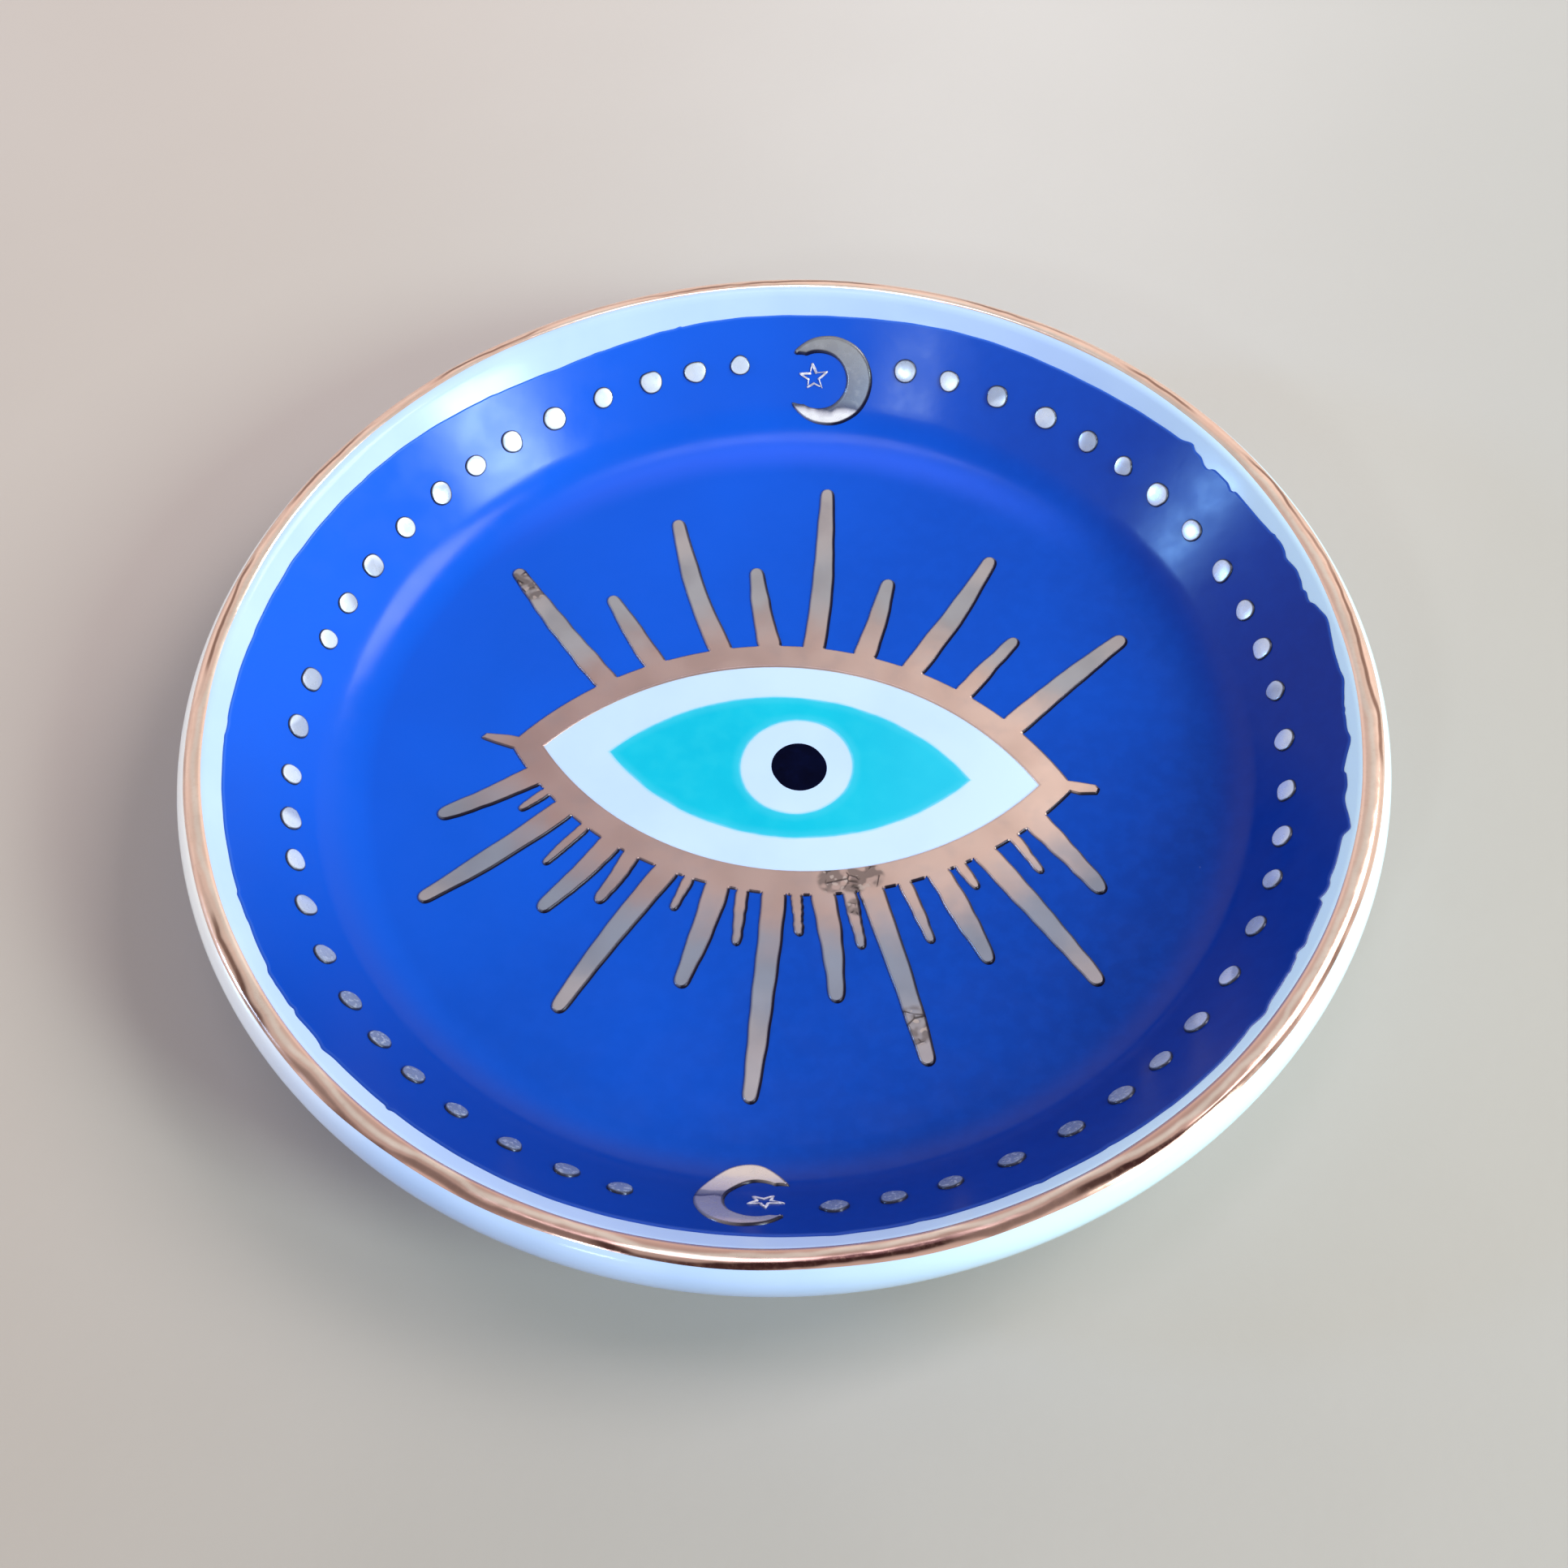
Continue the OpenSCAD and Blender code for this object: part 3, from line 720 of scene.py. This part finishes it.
def rim_lustre():
    """Rose-gold lustre on the lip: a painted highlight line along the crest, a broken painted dark
    reflection line outside it, painted shade and a darker line on the near side, and fine streaks.
    """
    s = Shader("rim_lustre")
    out = s.maths("ADD", s.from_axis(), s.vary(11 * MM, 3, -0.35 * MM, 0.35 * MM))
    patch = s.noise(6 * MM, 4)
    colour = s.ramp(patch, (0.3, (0.94, 0.62, 0.50)), (0.7, (1.0, 0.73, 0.61)))
    # painted shade: the rim darker on the near side
    painted_shade_near = s.fit(s.along(0.15, -1.0), 20 * MM, 55 * MM, 0.0, 0.85)
    colour = s.mix(painted_shade_near, colour, (0.58, 0.34, 0.29))
    # painted highlight: a light line along the crest
    bright = s.maths("ABSOLUTE", s.maths("SUBTRACT", out, CREST_R - 0.25 * MM))
    colour = s.mix(s.fit(bright, 0.05 * MM, 0.42 * MM, 0.8, 0.0), colour, (1.0, 0.84, 0.74))
    # painted reflection: a dark line outside the crest, broken by noise
    dark = s.maths("ABSOLUTE", s.maths("SUBTRACT", out, CREST_R + 0.62 * MM))
    gaps = s.fit(s.noise(16 * MM, 2), 0.42, 0.58, 0.15, 0.85)
    colour = s.mix(s.times(gaps, s.fit(dark, 0.08 * MM, 0.30 * MM, 1.0, 0.0)), colour, (0.20, 0.085, 0.055))
    # painted reflection: a wider dark line on the near side
    near = s.fit(s.along(0.15, -1.0), 15 * MM, 50 * MM, 0.0, 0.95)
    near = s.times(near, s.fit(gaps, 0.15, 0.85, 0.5, 1.0))
    colour = s.mix(s.times(near, s.fit(dark, 0.20 * MM, 0.45 * MM, 1.0, 0.0)), colour, (0.05, 0.012, 0.012))
    streak = s.noise(0.6 * MM, 5, 0.7)
    colour = s.mix(s.fit(streak, 0.45, 0.8, 0.0, 0.22), colour, (0.62, 0.36, 0.27))
    s.put(s.surface.inputs["Metallic"], s.fit(patch, 0.3, 0.7, 0.62, 0.74))
    rough = s.vary(2 * MM, 4, 0.10, 0.19)
    relief = s.bump(s.noise(5 * MM, 2), 0.00003)
    return s.finish(colour, rough, s.bump(streak, 0.000002, relief))


WHITE_LOW = (0.42, 0.55, 0.84)
WHITE_HIGH = (0.47, 0.60, 0.89)
white = white_glaze("white_glaze", WHITE_LOW, WHITE_HIGH)
eye_white = white_glaze("eye_white_glaze", (0.47, 0.60, 0.86), (0.52, 0.65, 0.90), True)
clay = bare_clay()
cobalt = cobalt_glaze()
turquoise = turquoise_glaze()
navy = navy_enamel()


def tip_of(node):
    """The corner of a lash's box that is farthest from the eye."""
    low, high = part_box(node)
    x = low.x if abs(low.x - EYE.x) > abs(high.x - EYE.x) else high.x
    y = low.y if abs(low.y - EYE.y) > abs(high.y - EYE.y) else high.y
    return Vector((x, y, high.z))


creased = (
    (tip_of("lash_up_1").lerp(EYE, 0.07), 3.2 * MM),
    (tip_of("lash_low_15").lerp(EYE, 0.12), 2.4 * MM),
    (Vector((6.4 * MM, -14.2 * MM, EYE.z)), 1.7 * MM),
    (Vector((8.6 * MM, -14.0 * MM, EYE.z)), 1.8 * MM),
    (Vector((10.4 * MM, -13.4 * MM, EYE.z)), 1.5 * MM),
    (Vector((9.2 * MM, -17.0 * MM, EYE.z)), 1.2 * MM),
)
gold = lustre("pale_gold_lustre", creased)
moon_gold = moon_lustre()
star_metal = star_lustre()
silver = silver_lustre()
rose = rim_lustre()

# ---- dish body and foot
tangent = (CREST_R - LIP_IN * math.sin(WALL_A), CREST_Z - LIP_IN + LIP_IN * math.cos(WALL_A))
belly_end = (DISH_R - BELLY_R + BELLY_R * math.cos(math.pi / 4), WIDE_Z - BELLY_R * math.sin(math.pi / 4))
under_r = belly_end[0] - (belly_end[1] - UNDER_Z)
dish_profile = (
    [(0.00001, FLOOR_Z)]
    + line((6 * MM, FLOOR_Z), (FLOOR_R, FLOOR_Z), 6)
    + arc(FLOOR_R, FLOOR_Z + ROUND_R, ROUND_R, -90, WALL_DEG - 90, 14)
    + line((ROUND_X + 0.5 * MM, ROUND_Z + 0.5 * MM * math.tan(WALL_A)), tangent, 8)
    + arc(CREST_R, CREST_Z - LIP_IN, LIP_IN, 90 + WALL_DEG, 90, 10)
    + arc(CREST_R, WIDE_Z, LIP_OUT, 88, 0, 16)
    + arc(DISH_R - BELLY_R, WIDE_Z, BELLY_R, -3, -45, 12)
    + line((belly_end[0] - 0.4 * MM, belly_end[1] - 0.4 * MM), (under_r + 0.6 * MM, UNDER_Z + 0.6 * MM), 10)
    + arc(under_r - 0.25 * MM, UNDER_Z + 0.6 * MM, 0.6 * MM, -45, -90, 5)
    + line((under_r - 1.0 * MM, UNDER_Z), (0.00001, UNDER_Z), 8)
    + [(0.00001, UNDER_Z)]
)
revolve("dish", dish_profile, white, ["dish_body"])

foot_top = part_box("foot_ring")[1].z
FOOT_W = 4 * MM
foot_in = FOOT_R - FOOT_W
foot_profile = (
    line((foot_in, foot_top + 0.05 * MM), (foot_in + 0.45 * MM, 0.35 * MM), 5)
    + arc(foot_in + 0.85 * MM, 0.35 * MM, 0.35 * MM, 180, 270, 6)
    + line((foot_in + 1.2 * MM, 0), (FOOT_R - 1.2 * MM, 0), 3)
    + arc(FOOT_R - 0.85 * MM, 0.35 * MM, 0.35 * MM, 270, 360, 6)
    + line((FOOT_R - 0.45 * MM, 0.4 * MM), (FOOT_R, foot_top + 0.05 * MM), 5)
    + [(FOOT_R, foot_top + 0.05 * MM)]
)
revolve("foot", foot_profile, clay, ["foot_ring"], closed=True)


# ---- rim band
def rim_band():
    """Rose-gold coat over the lip, its two edges brushed by hand."""
    around = 720
    across = 18
    a = np.arange(around) * 2 * math.pi / around
    inner = 22 - 14 * np.sin(a) + 6 * np.cos(a) + 2.0 * np.sin(2 * a + 1)
    inner = inner + 1.5 * np.sin(7 * a) + 0.7 * np.sin(23 * a + 2)
    outer = 35 + 11 * np.sin(a) + 1.5 * np.sin(5 * a + 1) + 1.2 * np.sin(19 * a)
    points = []
    for k in range(across + 1):
        t = k / across
        angle = inner * (1 - t) - outer * t  # degrees from the crest, inner side positive
        lift = 0.11 * MM * min(1.0, 0.05 + 6 * t * (1 - t)) * np.ones(around)
        rad = np.radians(angle)
        r_in = CREST_R - (LIP_IN + lift) * np.sin(rad)
        z_in = CREST_Z - LIP_IN + (LIP_IN + lift) * np.cos(rad)
        r_out = CREST_R - (LIP_OUT + lift) * np.sin(rad)
        z_out = WIDE_Z + (LIP_OUT + lift) * np.cos(rad)
        r = np.where(angle > 0, r_in, r_out)
        z = np.where(angle > 0, z_in, z_out)
        points.append(np.column_stack([r * np.cos(a), r * np.sin(a), z]))
    faces = []
    for k in range(across):
        faces += strip(k * around, (k + 1) * around, around)
    return mesh_object("rim", points, faces, rose, ["rim_band"])


rim_band()


# ---- blue glaze
# where the brush left nicks in the edge: angle, half spread in degrees, number, greatest depth in mm
NICKS = ((5, 40, 34, 0.32), (222, 16, 9, 0.28), (-55, 25, 8, 0.14), (150, 60, 10, 0.08))


def blue_field():
    """Cobalt coat: a flat floor with the eye's opening, then rings up the wall to a brushed edge."""
    outline = top_loops("blue_field")
    outer, hole = outline[0], outline[1]
    if area_of(hole) > 0:
        hole = hole[::-1]
    around = 1440
    a = np.arange(around) * 2 * math.pi / around
    order = np.argsort(np.arctan2(outer[:, 1], outer[:, 0]))
    known_a = np.arctan2(outer[order, 1], outer[order, 0])
    known_r = np.hypot(outer[order, 0], outer[order, 1]) + GLAZE_T * math.sin(WALL_A)
    reach = np.interp(a, known_a, known_r, period=2 * math.pi)
    for _ in range(30):
        reach = 0.5 * reach + 0.25 * (np.roll(reach, 1) + np.roll(reach, -1))
    rng = np.random.default_rng(3)
    for middle, spread, number, depth in NICKS:
        for _ in range(number):
            at = math.radians(middle + rng.uniform(-spread, spread))
            wide = rng.uniform(0.25, 1.1) * MM / FLOOR_R
            off = (a - at + math.pi) % (2 * math.pi) - math.pi
            lean = np.where(off > 0, 1.0, rng.uniform(0.3, 3.0))
            deep = rng.choice((-1, 1)) * depth * MM * rng.uniform(0.2, 1)
            reach = reach + deep * np.exp(-((off * lean / wide) ** 2))
    rings = 26
    ring = np.column_stack([np.cos(a), np.sin(a)])
    points, normals, distance = [], [], []
    for k in range(rings + 1):
        t = k / rings
        p, up = on_surface(ring * (FLOOR_R + (reach - FLOOR_R) * t)[:, None], GLAZE_T)
        points.append(p)
        normals.append(up)
        distance.append((reach - FLOOR_R) * (1 - t) / math.cos(WALL_A) / MM + 0.12)
    side = np.column_stack([ring * math.cos(WALL_A), np.full(around, math.sin(WALL_A))])
    for inset, height, tilt in ((-0.05, 0.85, 30), (-0.09, 0.5, 60), (-0.10, -0.1, 80)):
        p, up = on_surface(ring * (reach - inset * MM)[:, None], GLAZE_T * height)
        t = math.radians(tilt)
        points.append(p)
        normals.append(up * math.cos(t) + side * math.sin(t))
        distance.append(np.full(around, 0.12 + inset))
    faces = []
    for k in range(len(points) - 1):
        faces += strip(k * around, (k + 1) * around, around)
    count = around * len(points)
    cut = resample(hole, 0.4 * MM)
    p, up = on_surface(cut, GLAZE_T)
    points.append(p)
    normals.append(up)
    distance.append(np.full(len(p), 0.0))
    p, up = on_surface(cut, 0)
    points.append(p)
    normals.append(up)
    distance.append(np.full(len(p), 0.0))
    n = len(cut)
    for i in range(n):
        j = (i + 1) % n
        faces.append((count + n + i, count + n + j, count + j, count + i))
    flat = np.concatenate([ring * FLOOR_R, cut])
    index = np.concatenate([np.arange(around), count + np.arange(n)])
    toward_right_near = [Vector((float(x) * TO_MM, float(y) * TO_MM)) for x, y in flat]
    edges = [(i, (i + 1) % around) for i in range(around)]
    edges += [(around + i, around + (i + 1) % n) for i in range(n)]
    verts, _, tris, origin, _, _ = delaunay_2d_cdt(toward_right_near, edges, [], 0, 1e-5)
    for tri in tris:
        centre = np.mean([(verts[i].x / TO_MM, verts[i].y / TO_MM) for i in tri], axis=0)
        if not in_loops(centre, [cut], 0):
            faces.append(tuple(int(index[origin[i][0]]) for i in tri))
    return mesh_object("blue_glaze", points, faces, cobalt, ["blue_field"], normals, distance)


blue_field()

# ---- the eye
def around_loops(found, step):
    """Outlines with evenly spaced points, the outer one counterclockwise and the holes clockwise."""
    loops = []
    for k, loop in enumerate(found):
        loop = resample(loop, step * MM)
        if (area_of(loop) > 0) != (k == 0):
            loop = loop[::-1]
        loops.append(loop)
    return loops


EYE_COLOURS = {"eye_white": eye_white, "iris": turquoise, "iris_ring": eye_white, "pupil": navy}
for node, material in EYE_COLOURS.items():
    coat_piece(node, around_loops(top_loops(node), 0.35), 0.0, GLAZE_T, material, [node], edge=FLUSH)

lash_nodes = sorted(n for n in nodes if n.startswith("lash_"))
lid_plain = around_loops(top_loops("eyelid"), 0.25)
lash_plain = {n: around_loops(top_loops(n), 0.2)[0] for n in lash_nodes}


def gap_to(points, loop):
    """Distance of each point to the nearest point of a loop."""
    return np.array([np.hypot(*(loop - q).T).min() for q in points])


lash_foot = {n: gap_to(loop, lid_plain[0]) < 0.16 * MM for n, loop in lash_plain.items()}
feet = np.concatenate([lash_plain[n][lash_foot[n]] for n in lash_nodes])
joined = (gap_to(lid_plain[0], feet) < 0.2 * MM).astype(float)
lid_outer = np.where(joined[:, None] > 0, lid_plain[0], wander(lid_plain[0], 0.025 * MM, 11))
coat_piece("eyelid", [lid_outer] + lid_plain[1:], GLAZE_T, LUSTRE_T * 0.985, gold, ["eyelid"], flush=joined)


def lash(node, seed):
    """One painted ray: its CAD outline, evened out, its foot running on into the eyelid line."""
    loop, foot = lash_plain[node], lash_foot[node]
    tip = loop[np.argmax(gap_to(loop, lid_plain[0]))]
    axis = loop[foot].mean(axis=0) - tip
    axis /= np.linalg.norm(axis)
    drawn = wander(soften(loop, 5), 0.045 * MM, seed)
    drawn = drawn + outward(drawn) * 0.05 * MM
    loop = np.where(foot[:, None], loop + axis * 0.12 * MM, drawn)
    coat_piece(node, [loop], GLAZE_T, LUSTRE_T, gold, [node], flush=foot.astype(float))


for k, node in enumerate(lash_nodes):
    lash(node, 100 + k)


# ---- dots, moons, stars
# a dot's cross-section: share of its radius, share of its height, tilt of the normal, painted shade of its
# dark rim
DOT = (
    (1.0, -0.1, 85, 1.0),
    (1.0, 0.35, 75, 1.0),
    (0.96, 0.66, 50, 1.0),
    (0.90, 0.86, 20, 0.7),
    (0.84, 0.93, 8, 0.0),
    (0.5, 0.98, 3, 0.0),
    (0, 1, 0, 0.0),
)
DOT_H = 0.26 * MM


def dot_centres(node):
    """Middle of each dot of a CAD node: its dots are far enough apart to tell by their angle."""
    co = np.array([v.co for v in nodes[node].data.vertices])
    angle = np.degrees(np.arctan2(co[:, 1], co[:, 0])) % 360
    order = np.sort(angle)
    gap = np.diff(np.concatenate([order, [order[0] + 360]]))
    starts = order[(np.where(gap > 1.2)[0] + 1) % len(order)]
    return [co[(angle - start) % 360 < 4.0].mean(axis=0)[:2] for start in starts]


def dots(node, seed):
    """The raised dots of one side: small uneven drops of lustre with a flat top and a round edge."""
    points, normals, darkness, faces = [], [], [], []
    count, turns = 0, 36
    rng = np.random.default_rng(seed)
    a = np.arange(turns) * 2 * math.pi / turns
    for centre in dot_centres(node):
        size = 1.27 * MM * (1 + 0.06 * rng.normal())
        blob = size * np.ones(turns)
        for k in (2, 3, 4):
            blob += size * rng.normal() * 0.07 / k * np.sin(k * a + rng.uniform(0, 6.3))
        blob = np.minimum(blob, 1.38 * MM)
        away = centre / np.hypot(*centre)
        across = np.array([-away[1], away[0]])
        lean = away * rng.normal() * 0.03 + across * rng.normal() * 0.03
        for k, (share, height, tilt, edge_shade) in enumerate(DOT):
            t = math.radians(tilt)
            reach = np.outer(blob * share * np.cos(a) * math.cos(WALL_A), away)
            reach = reach + np.outer(blob * share * np.sin(a), across)
            side = np.outer(np.cos(a) * math.cos(WALL_A), away) + np.outer(np.sin(a), across) + lean
            side = np.column_stack([side, np.cos(a) * math.sin(WALL_A)])
            if share == 0:
                reach, side = reach[:1], np.array([[*lean * 0.3, 0]])
            p, up = on_surface(centre + reach, GLAZE_T + DOT_H * height)
            points.append(p)
            # painted shade in a dark ring round the dot's edge
            darkness.append(np.full(len(p), edge_shade))
            normals.append(up * math.cos(t) + side * max(math.sin(t), 0.02))
            low = count - turns
            if share == 0:
                faces += [(low + i, low + (i + 1) % turns, count) for i in range(turns)]
            elif k:
                for i in range(turns):
                    j = (i + 1) % turns
                    faces.append((low + i, low + j, count + j, count + i))
            count += len(p)
    return mesh_object(node, points, faces, silver, [node], normals, dark=darkness)


dots("dots_left", 21)
dots("dots_right", 22)

MOON_R = 5 * MM
HOLLOW = (-1.1 * MM, 3.45 * MM)  # middle and radius of the round cut out of the moon
MOUTH = (-3.2 * MM, 3.1 * MM)  # middle and radius of the cut that opens it
STAR_AT = (-1.7 * MM, 0.3 * MM)
MOON_SHARE = {"moon_top": (1.0, 1.0), "moon_bottom": (0.9, 1.22)}  # width and height as shares of MOON_R


def moon_frame(node, side):
    """A moon's plan centre, outward and sideways directions; side is 1 at the top, -1 at the bottom."""
    low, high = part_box(node)
    wide, tall = MOON_SHARE[node]
    x = high.x - MOON_R * wide if side > 0 else low.x + MOON_R * wide
    edge = high.y if side > 0 else -low.y
    centre = np.array([x, side * (edge + GLAZE_T * math.sin(WALL_A) - MOON_R * tall * math.cos(WALL_A))])
    away = centre / np.hypot(*centre)
    return centre, away, np.array([away[1], -away[0]])


def lay_on_wall(loop, place):
    """Takes a shape drawn flat, its Y up the slope, to plan points on the wall and the round below it."""
    centre, away, across = place
    reach = np.hypot(*centre) + loop[:, 1] * math.cos(WALL_A)
    below = np.clip((ROUND_X - reach) / math.cos(WALL_A) / ROUND_R, 0, 0.95)
    on_round = ROUND_X - ROUND_R * (math.sin(WALL_A) - np.sin(WALL_A - np.arcsin(below)))
    reach = np.where(below > 0, on_round, reach)
    return np.outer(reach, away) + np.outer(loop[:, 0], across)


def crescent():
    """The crescent's outline, open to the left: outer circle, mouth cut, round hollow."""

    def meet(r0, x1, r1, x2):
        x = (r0**2 - r1**2 - x1**2 + x2**2) / (2 * (x2 - x1))
        return x, math.sqrt(max(r0**2 - (x - x1) ** 2, 0))

    tip_x, tip_y = meet(MOON_R, 0, MOUTH[1], MOUTH[0])
    bend_x, bend_y = meet(HOLLOW[1], HOLLOW[0], MOUTH[1], MOUTH[0])
    tip_a = math.atan2(tip_y, tip_x)
    tip_m, bend_m = math.atan2(tip_y, tip_x - MOUTH[0]), math.atan2(bend_y, bend_x - MOUTH[0])
    bend_h = math.atan2(bend_y, bend_x - HOLLOW[0])

    def part(middle, r, a0, a1, n):
        return [(middle + r * math.cos(t), r * math.sin(t)) for t in np.linspace(a0, a1, n)]

    points = part(0, MOON_R, -tip_a, tip_a, 120) + part(*MOUTH, tip_m, bend_m, 20)[1:]
    points += part(*HOLLOW, bend_h, -bend_h, 90)[1:] + part(*MOUTH, -bend_m, -tip_m, 20)[1:-1]
    return np.array(points)


def moon(node, side, seed):
    """A crescent of lustre that follows the wall."""
    place = moon_frame(node, side)
    shape = resample(crescent(), 0.16 * MM) * MOON_SHARE[node]
    loop = wander(lay_on_wall(shape, place), 0.025 * MM, seed)
    if area_of(loop) < 0:
        loop = loop[::-1]
    low, high = loop.min(axis=0), loop.max(axis=0)
    columns, rows = (np.arange(low[k], high[k], 0.4 * MM) for k in (0, 1))
    grid = [(x, y) for x in columns for y in rows]
    coat_piece(node, [loop], GLAZE_T, LUSTRE_T * 0.8, moon_gold, [node], inside=np.array(grid))


def star(node, moon_node, side, seed):
    """A five-pointed star drawn as a thin, broken line."""
    place = moon_frame(moon_node, side)
    rng = np.random.default_rng(seed)
    corners = []
    for k in range(10):
        r = (1.5 if k % 2 == 0 else 0.62) * MM * (1 + 0.08 * rng.normal())
        a = math.radians(36 * k + 8)
        corners.append((STAR_AT[0] - r * math.sin(a), STAR_AT[1] + r * math.cos(a)))
    loops = []
    for k in range(10):
        p, q = np.array(corners[k]), np.array(corners[(k + 1) % 10])
        along = (q - p) / np.linalg.norm(q - p)
        half = np.array([-along[1], along[0]]) * (0.10 + 0.03 * rng.normal()) * MM
        if rng.uniform() < 0.2:
            q = q - along * 0.3 * MM
        stroke = [p - along * 0.08 * MM - half, p + (q - p) * 0.5 - half * 1.2, q + along * 0.05 * MM - half]
        stroke += [q + along * 0.12 * MM, q + along * 0.05 * MM + half, p + (q - p) * 0.5 + half * 0.8]
        stroke += [p - along * 0.08 * MM + half, p - along * 0.14 * MM]
        loops.append(resample(lay_on_wall(np.array(stroke), place), 0.08 * MM))
    star_piece(node, [loop[::-1] if area_of(loop) < 0 else loop for loop in loops])


def star_piece(node, strokes):
    """Flat strokes with upright sides, gathered into one mesh."""
    points, normals, faces = [], [], []
    count = 0
    for k, loop in enumerate(strokes):
        n = len(loop)
        middle = loop.mean(axis=0)
        inner = middle + (loop - middle) * 0.7
        for xy, height, tilt in ((loop, -0.1, 80), (loop, 0.4, 60), (inner, 0.62 + 0.01 * k, 12)):
            p, up = on_surface(xy, GLAZE_T + LUSTRE_T * height)
            side = np.column_stack([outward(loop), np.zeros(n)])
            t = math.radians(tilt)
            points.append(p)
            normals.append(up * math.cos(t) + side * math.sin(t))
        p, up = on_surface(middle[None], GLAZE_T + LUSTRE_T * (0.66 + 0.01 * k))
        points.append(p)
        normals.append(up)
        for row in (0, 1):
            low, high = count + row * n, count + (row + 1) * n
            faces += [(low + i, low + (i + 1) % n, high + (i + 1) % n, high + i) for i in range(n)]
        top = count + 2 * n
        faces += [(top + i, top + (i + 1) % n, count + 3 * n) for i in range(n)]
        count += 3 * n + 1
    return mesh_object(node, points, faces, star_metal, [node], normals)


moon("moon_top", 1, 31)
moon("moon_bottom", -1, 32)
star("star_top", "moon_top", 1, 33)
star("star_bottom", "moon_bottom", -1, 34)

# ---- floor
floor_mesh = bpy.data.meshes.new("table")
WIDE = 2.5  # half the table's width, in metres
corners = [(-WIDE, -WIDE, 0), (WIDE, -WIDE, 0), (WIDE, WIDE, 0), (-WIDE, WIDE, 0)]
floor_mesh.from_pydata(corners, [], [(0, 1, 2, 3)])
table = bpy.data.objects.new("table", floor_mesh)
bpy.context.scene.collection.objects.link(table)
t = Shader("table_top")
# painted light: the table lighter towards the far side and darker near
painted_light_far = t.fit(t.along(0.15, 1.0), -120 * MM, 160 * MM, 0.0, 1.0, False)
painted_light_far = t.maths("ADD", painted_light_far, t.vary(60 * MM, 5, -0.04, 0.04))
table_tone_and_shade = t.ramp(painted_light_far, (0.0, (0.355, 0.32, 0.295)), (1.0, (0.62, 0.57, 0.555)))
# painted shadow: warm and darker on the left
table_tone_and_shade = t.mix(t.fit(t.along(-1.0, 0.1), -20 * MM, 110 * MM, 0.0, 0.42), table_tone_and_shade, (0.50, 0.375, 0.315))
# painted shade: darker on the right
table_tone_and_shade = t.mix(t.fit(t.along(1.0, 0.1), 20 * MM, 120 * MM, 0.0, 0.5), table_tone_and_shade, (0.33, 0.32, 0.30))
floor_mesh.materials.append(t.finish(table_tone_and_shade, 0.65, t.bump(t.noise(1.5 * MM, 4), 0.00002)))

# ---- light
world = bpy.data.worlds.new("studio")
bpy.context.scene.world = world
world.use_nodes = True
sky = world.node_tree
direction = sky.nodes.new("ShaderNodeTexCoord").outputs["Generated"]
split = sky.nodes.new("ShaderNodeSeparateXYZ")
sky.links.new(direction, split.inputs[0])
height = sky.nodes.new("ShaderNodeValToRGB")
# height and brightness
SKY = ((0.0, 0.56), (0.3, 0.82), (0.5, 0.78), (0.70, 0.46), (0.85, 0.37), (1.0, 0.30))
while len(height.color_ramp.elements) < len(SKY):
    height.color_ramp.elements.new(0.5)
for element, (at, level) in zip(height.color_ramp.elements, SKY):
    element.position = at
    element.color = (level, level * 0.91, level * 0.855, 1)
sky.links.new(split.outputs["Z"], height.inputs["Fac"])
sky.links.new(height.outputs["Color"], sky.nodes["Background"].inputs["Color"])


def softbox(name, place, width, height, power, colour):
    """A rectangular light aimed at the dish."""
    lamp = bpy.data.lights.new(name, "AREA")
    lamp.shape = "RECTANGLE"
    lamp.size = width
    lamp.size_y = height
    lamp.energy = power
    lamp.color = colour
    holder = bpy.data.objects.new(name, lamp)
    holder.location = place
    holder.rotation_euler = (Vector(place) * -1).to_track_quat("-Z", "Y").to_euler()
    bpy.context.scene.collection.objects.link(holder)


softbox("key", (0.88, 0.28, 1.0), 0.6, 0.6, 10.0, (1.0, 0.99, 0.98))
softbox("ceiling", (-0.07, 0.12, 1.2), 0.42, 0.28, 1.3, (0.88, 0.86, 1.0))
softbox("window", (1.02, -0.48, 0.64), 0.32, 0.38, 12.5, (0.74, 0.98, 0.92))
softbox("left_fill", (-1.15, -0.12, 0.46), 0.14, 0.16, 3.6, (0.26, 0.56, 1.0))
softbox("near_fill", (-0.39, -0.90, 0.67), 0.10, 0.10, 1.4, (0.70, 0.92, 1.0))

# ---- camera
AZIMUTH = math.radians(8.36)
ELEVATION = math.radians(57.0)
ROLL = math.radians(-3.23)
DISTANCE = 205.5 * MM
DOWN = -2.33 * MM  # how far the view is moved down
LENS = 44.72  # focal length in mm, on a sensor this wide
SENSOR = 36

back = Vector((
    math.sin(AZIMUTH) * math.cos(ELEVATION),
    -math.cos(AZIMUTH) * math.cos(ELEVATION),
    math.sin(ELEVATION),
))
right = Vector((math.cos(AZIMUTH), math.sin(AZIMUTH), 0))
upward = back.cross(right)
side_axis = right * math.cos(ROLL) + upward * math.sin(ROLL)
up_axis = upward * math.cos(ROLL) - right * math.sin(ROLL)
lens = bpy.data.cameras.new("camera")
lens.sensor_width = SENSOR
lens.lens = LENS
lens.clip_start = 0.01
camera = bpy.data.objects.new("camera", lens)
spot = Vector((0, 0, FLOOR_Z)) + back * DISTANCE + upward * DOWN
camera.matrix_world = Matrix((side_axis, up_axis, back)).transposed().to_4x4()
camera.location = spot
bpy.context.scene.collection.objects.link(camera)
bpy.context.scene.camera = camera
bpy.context.scene.view_settings.view_transform = "Standard"
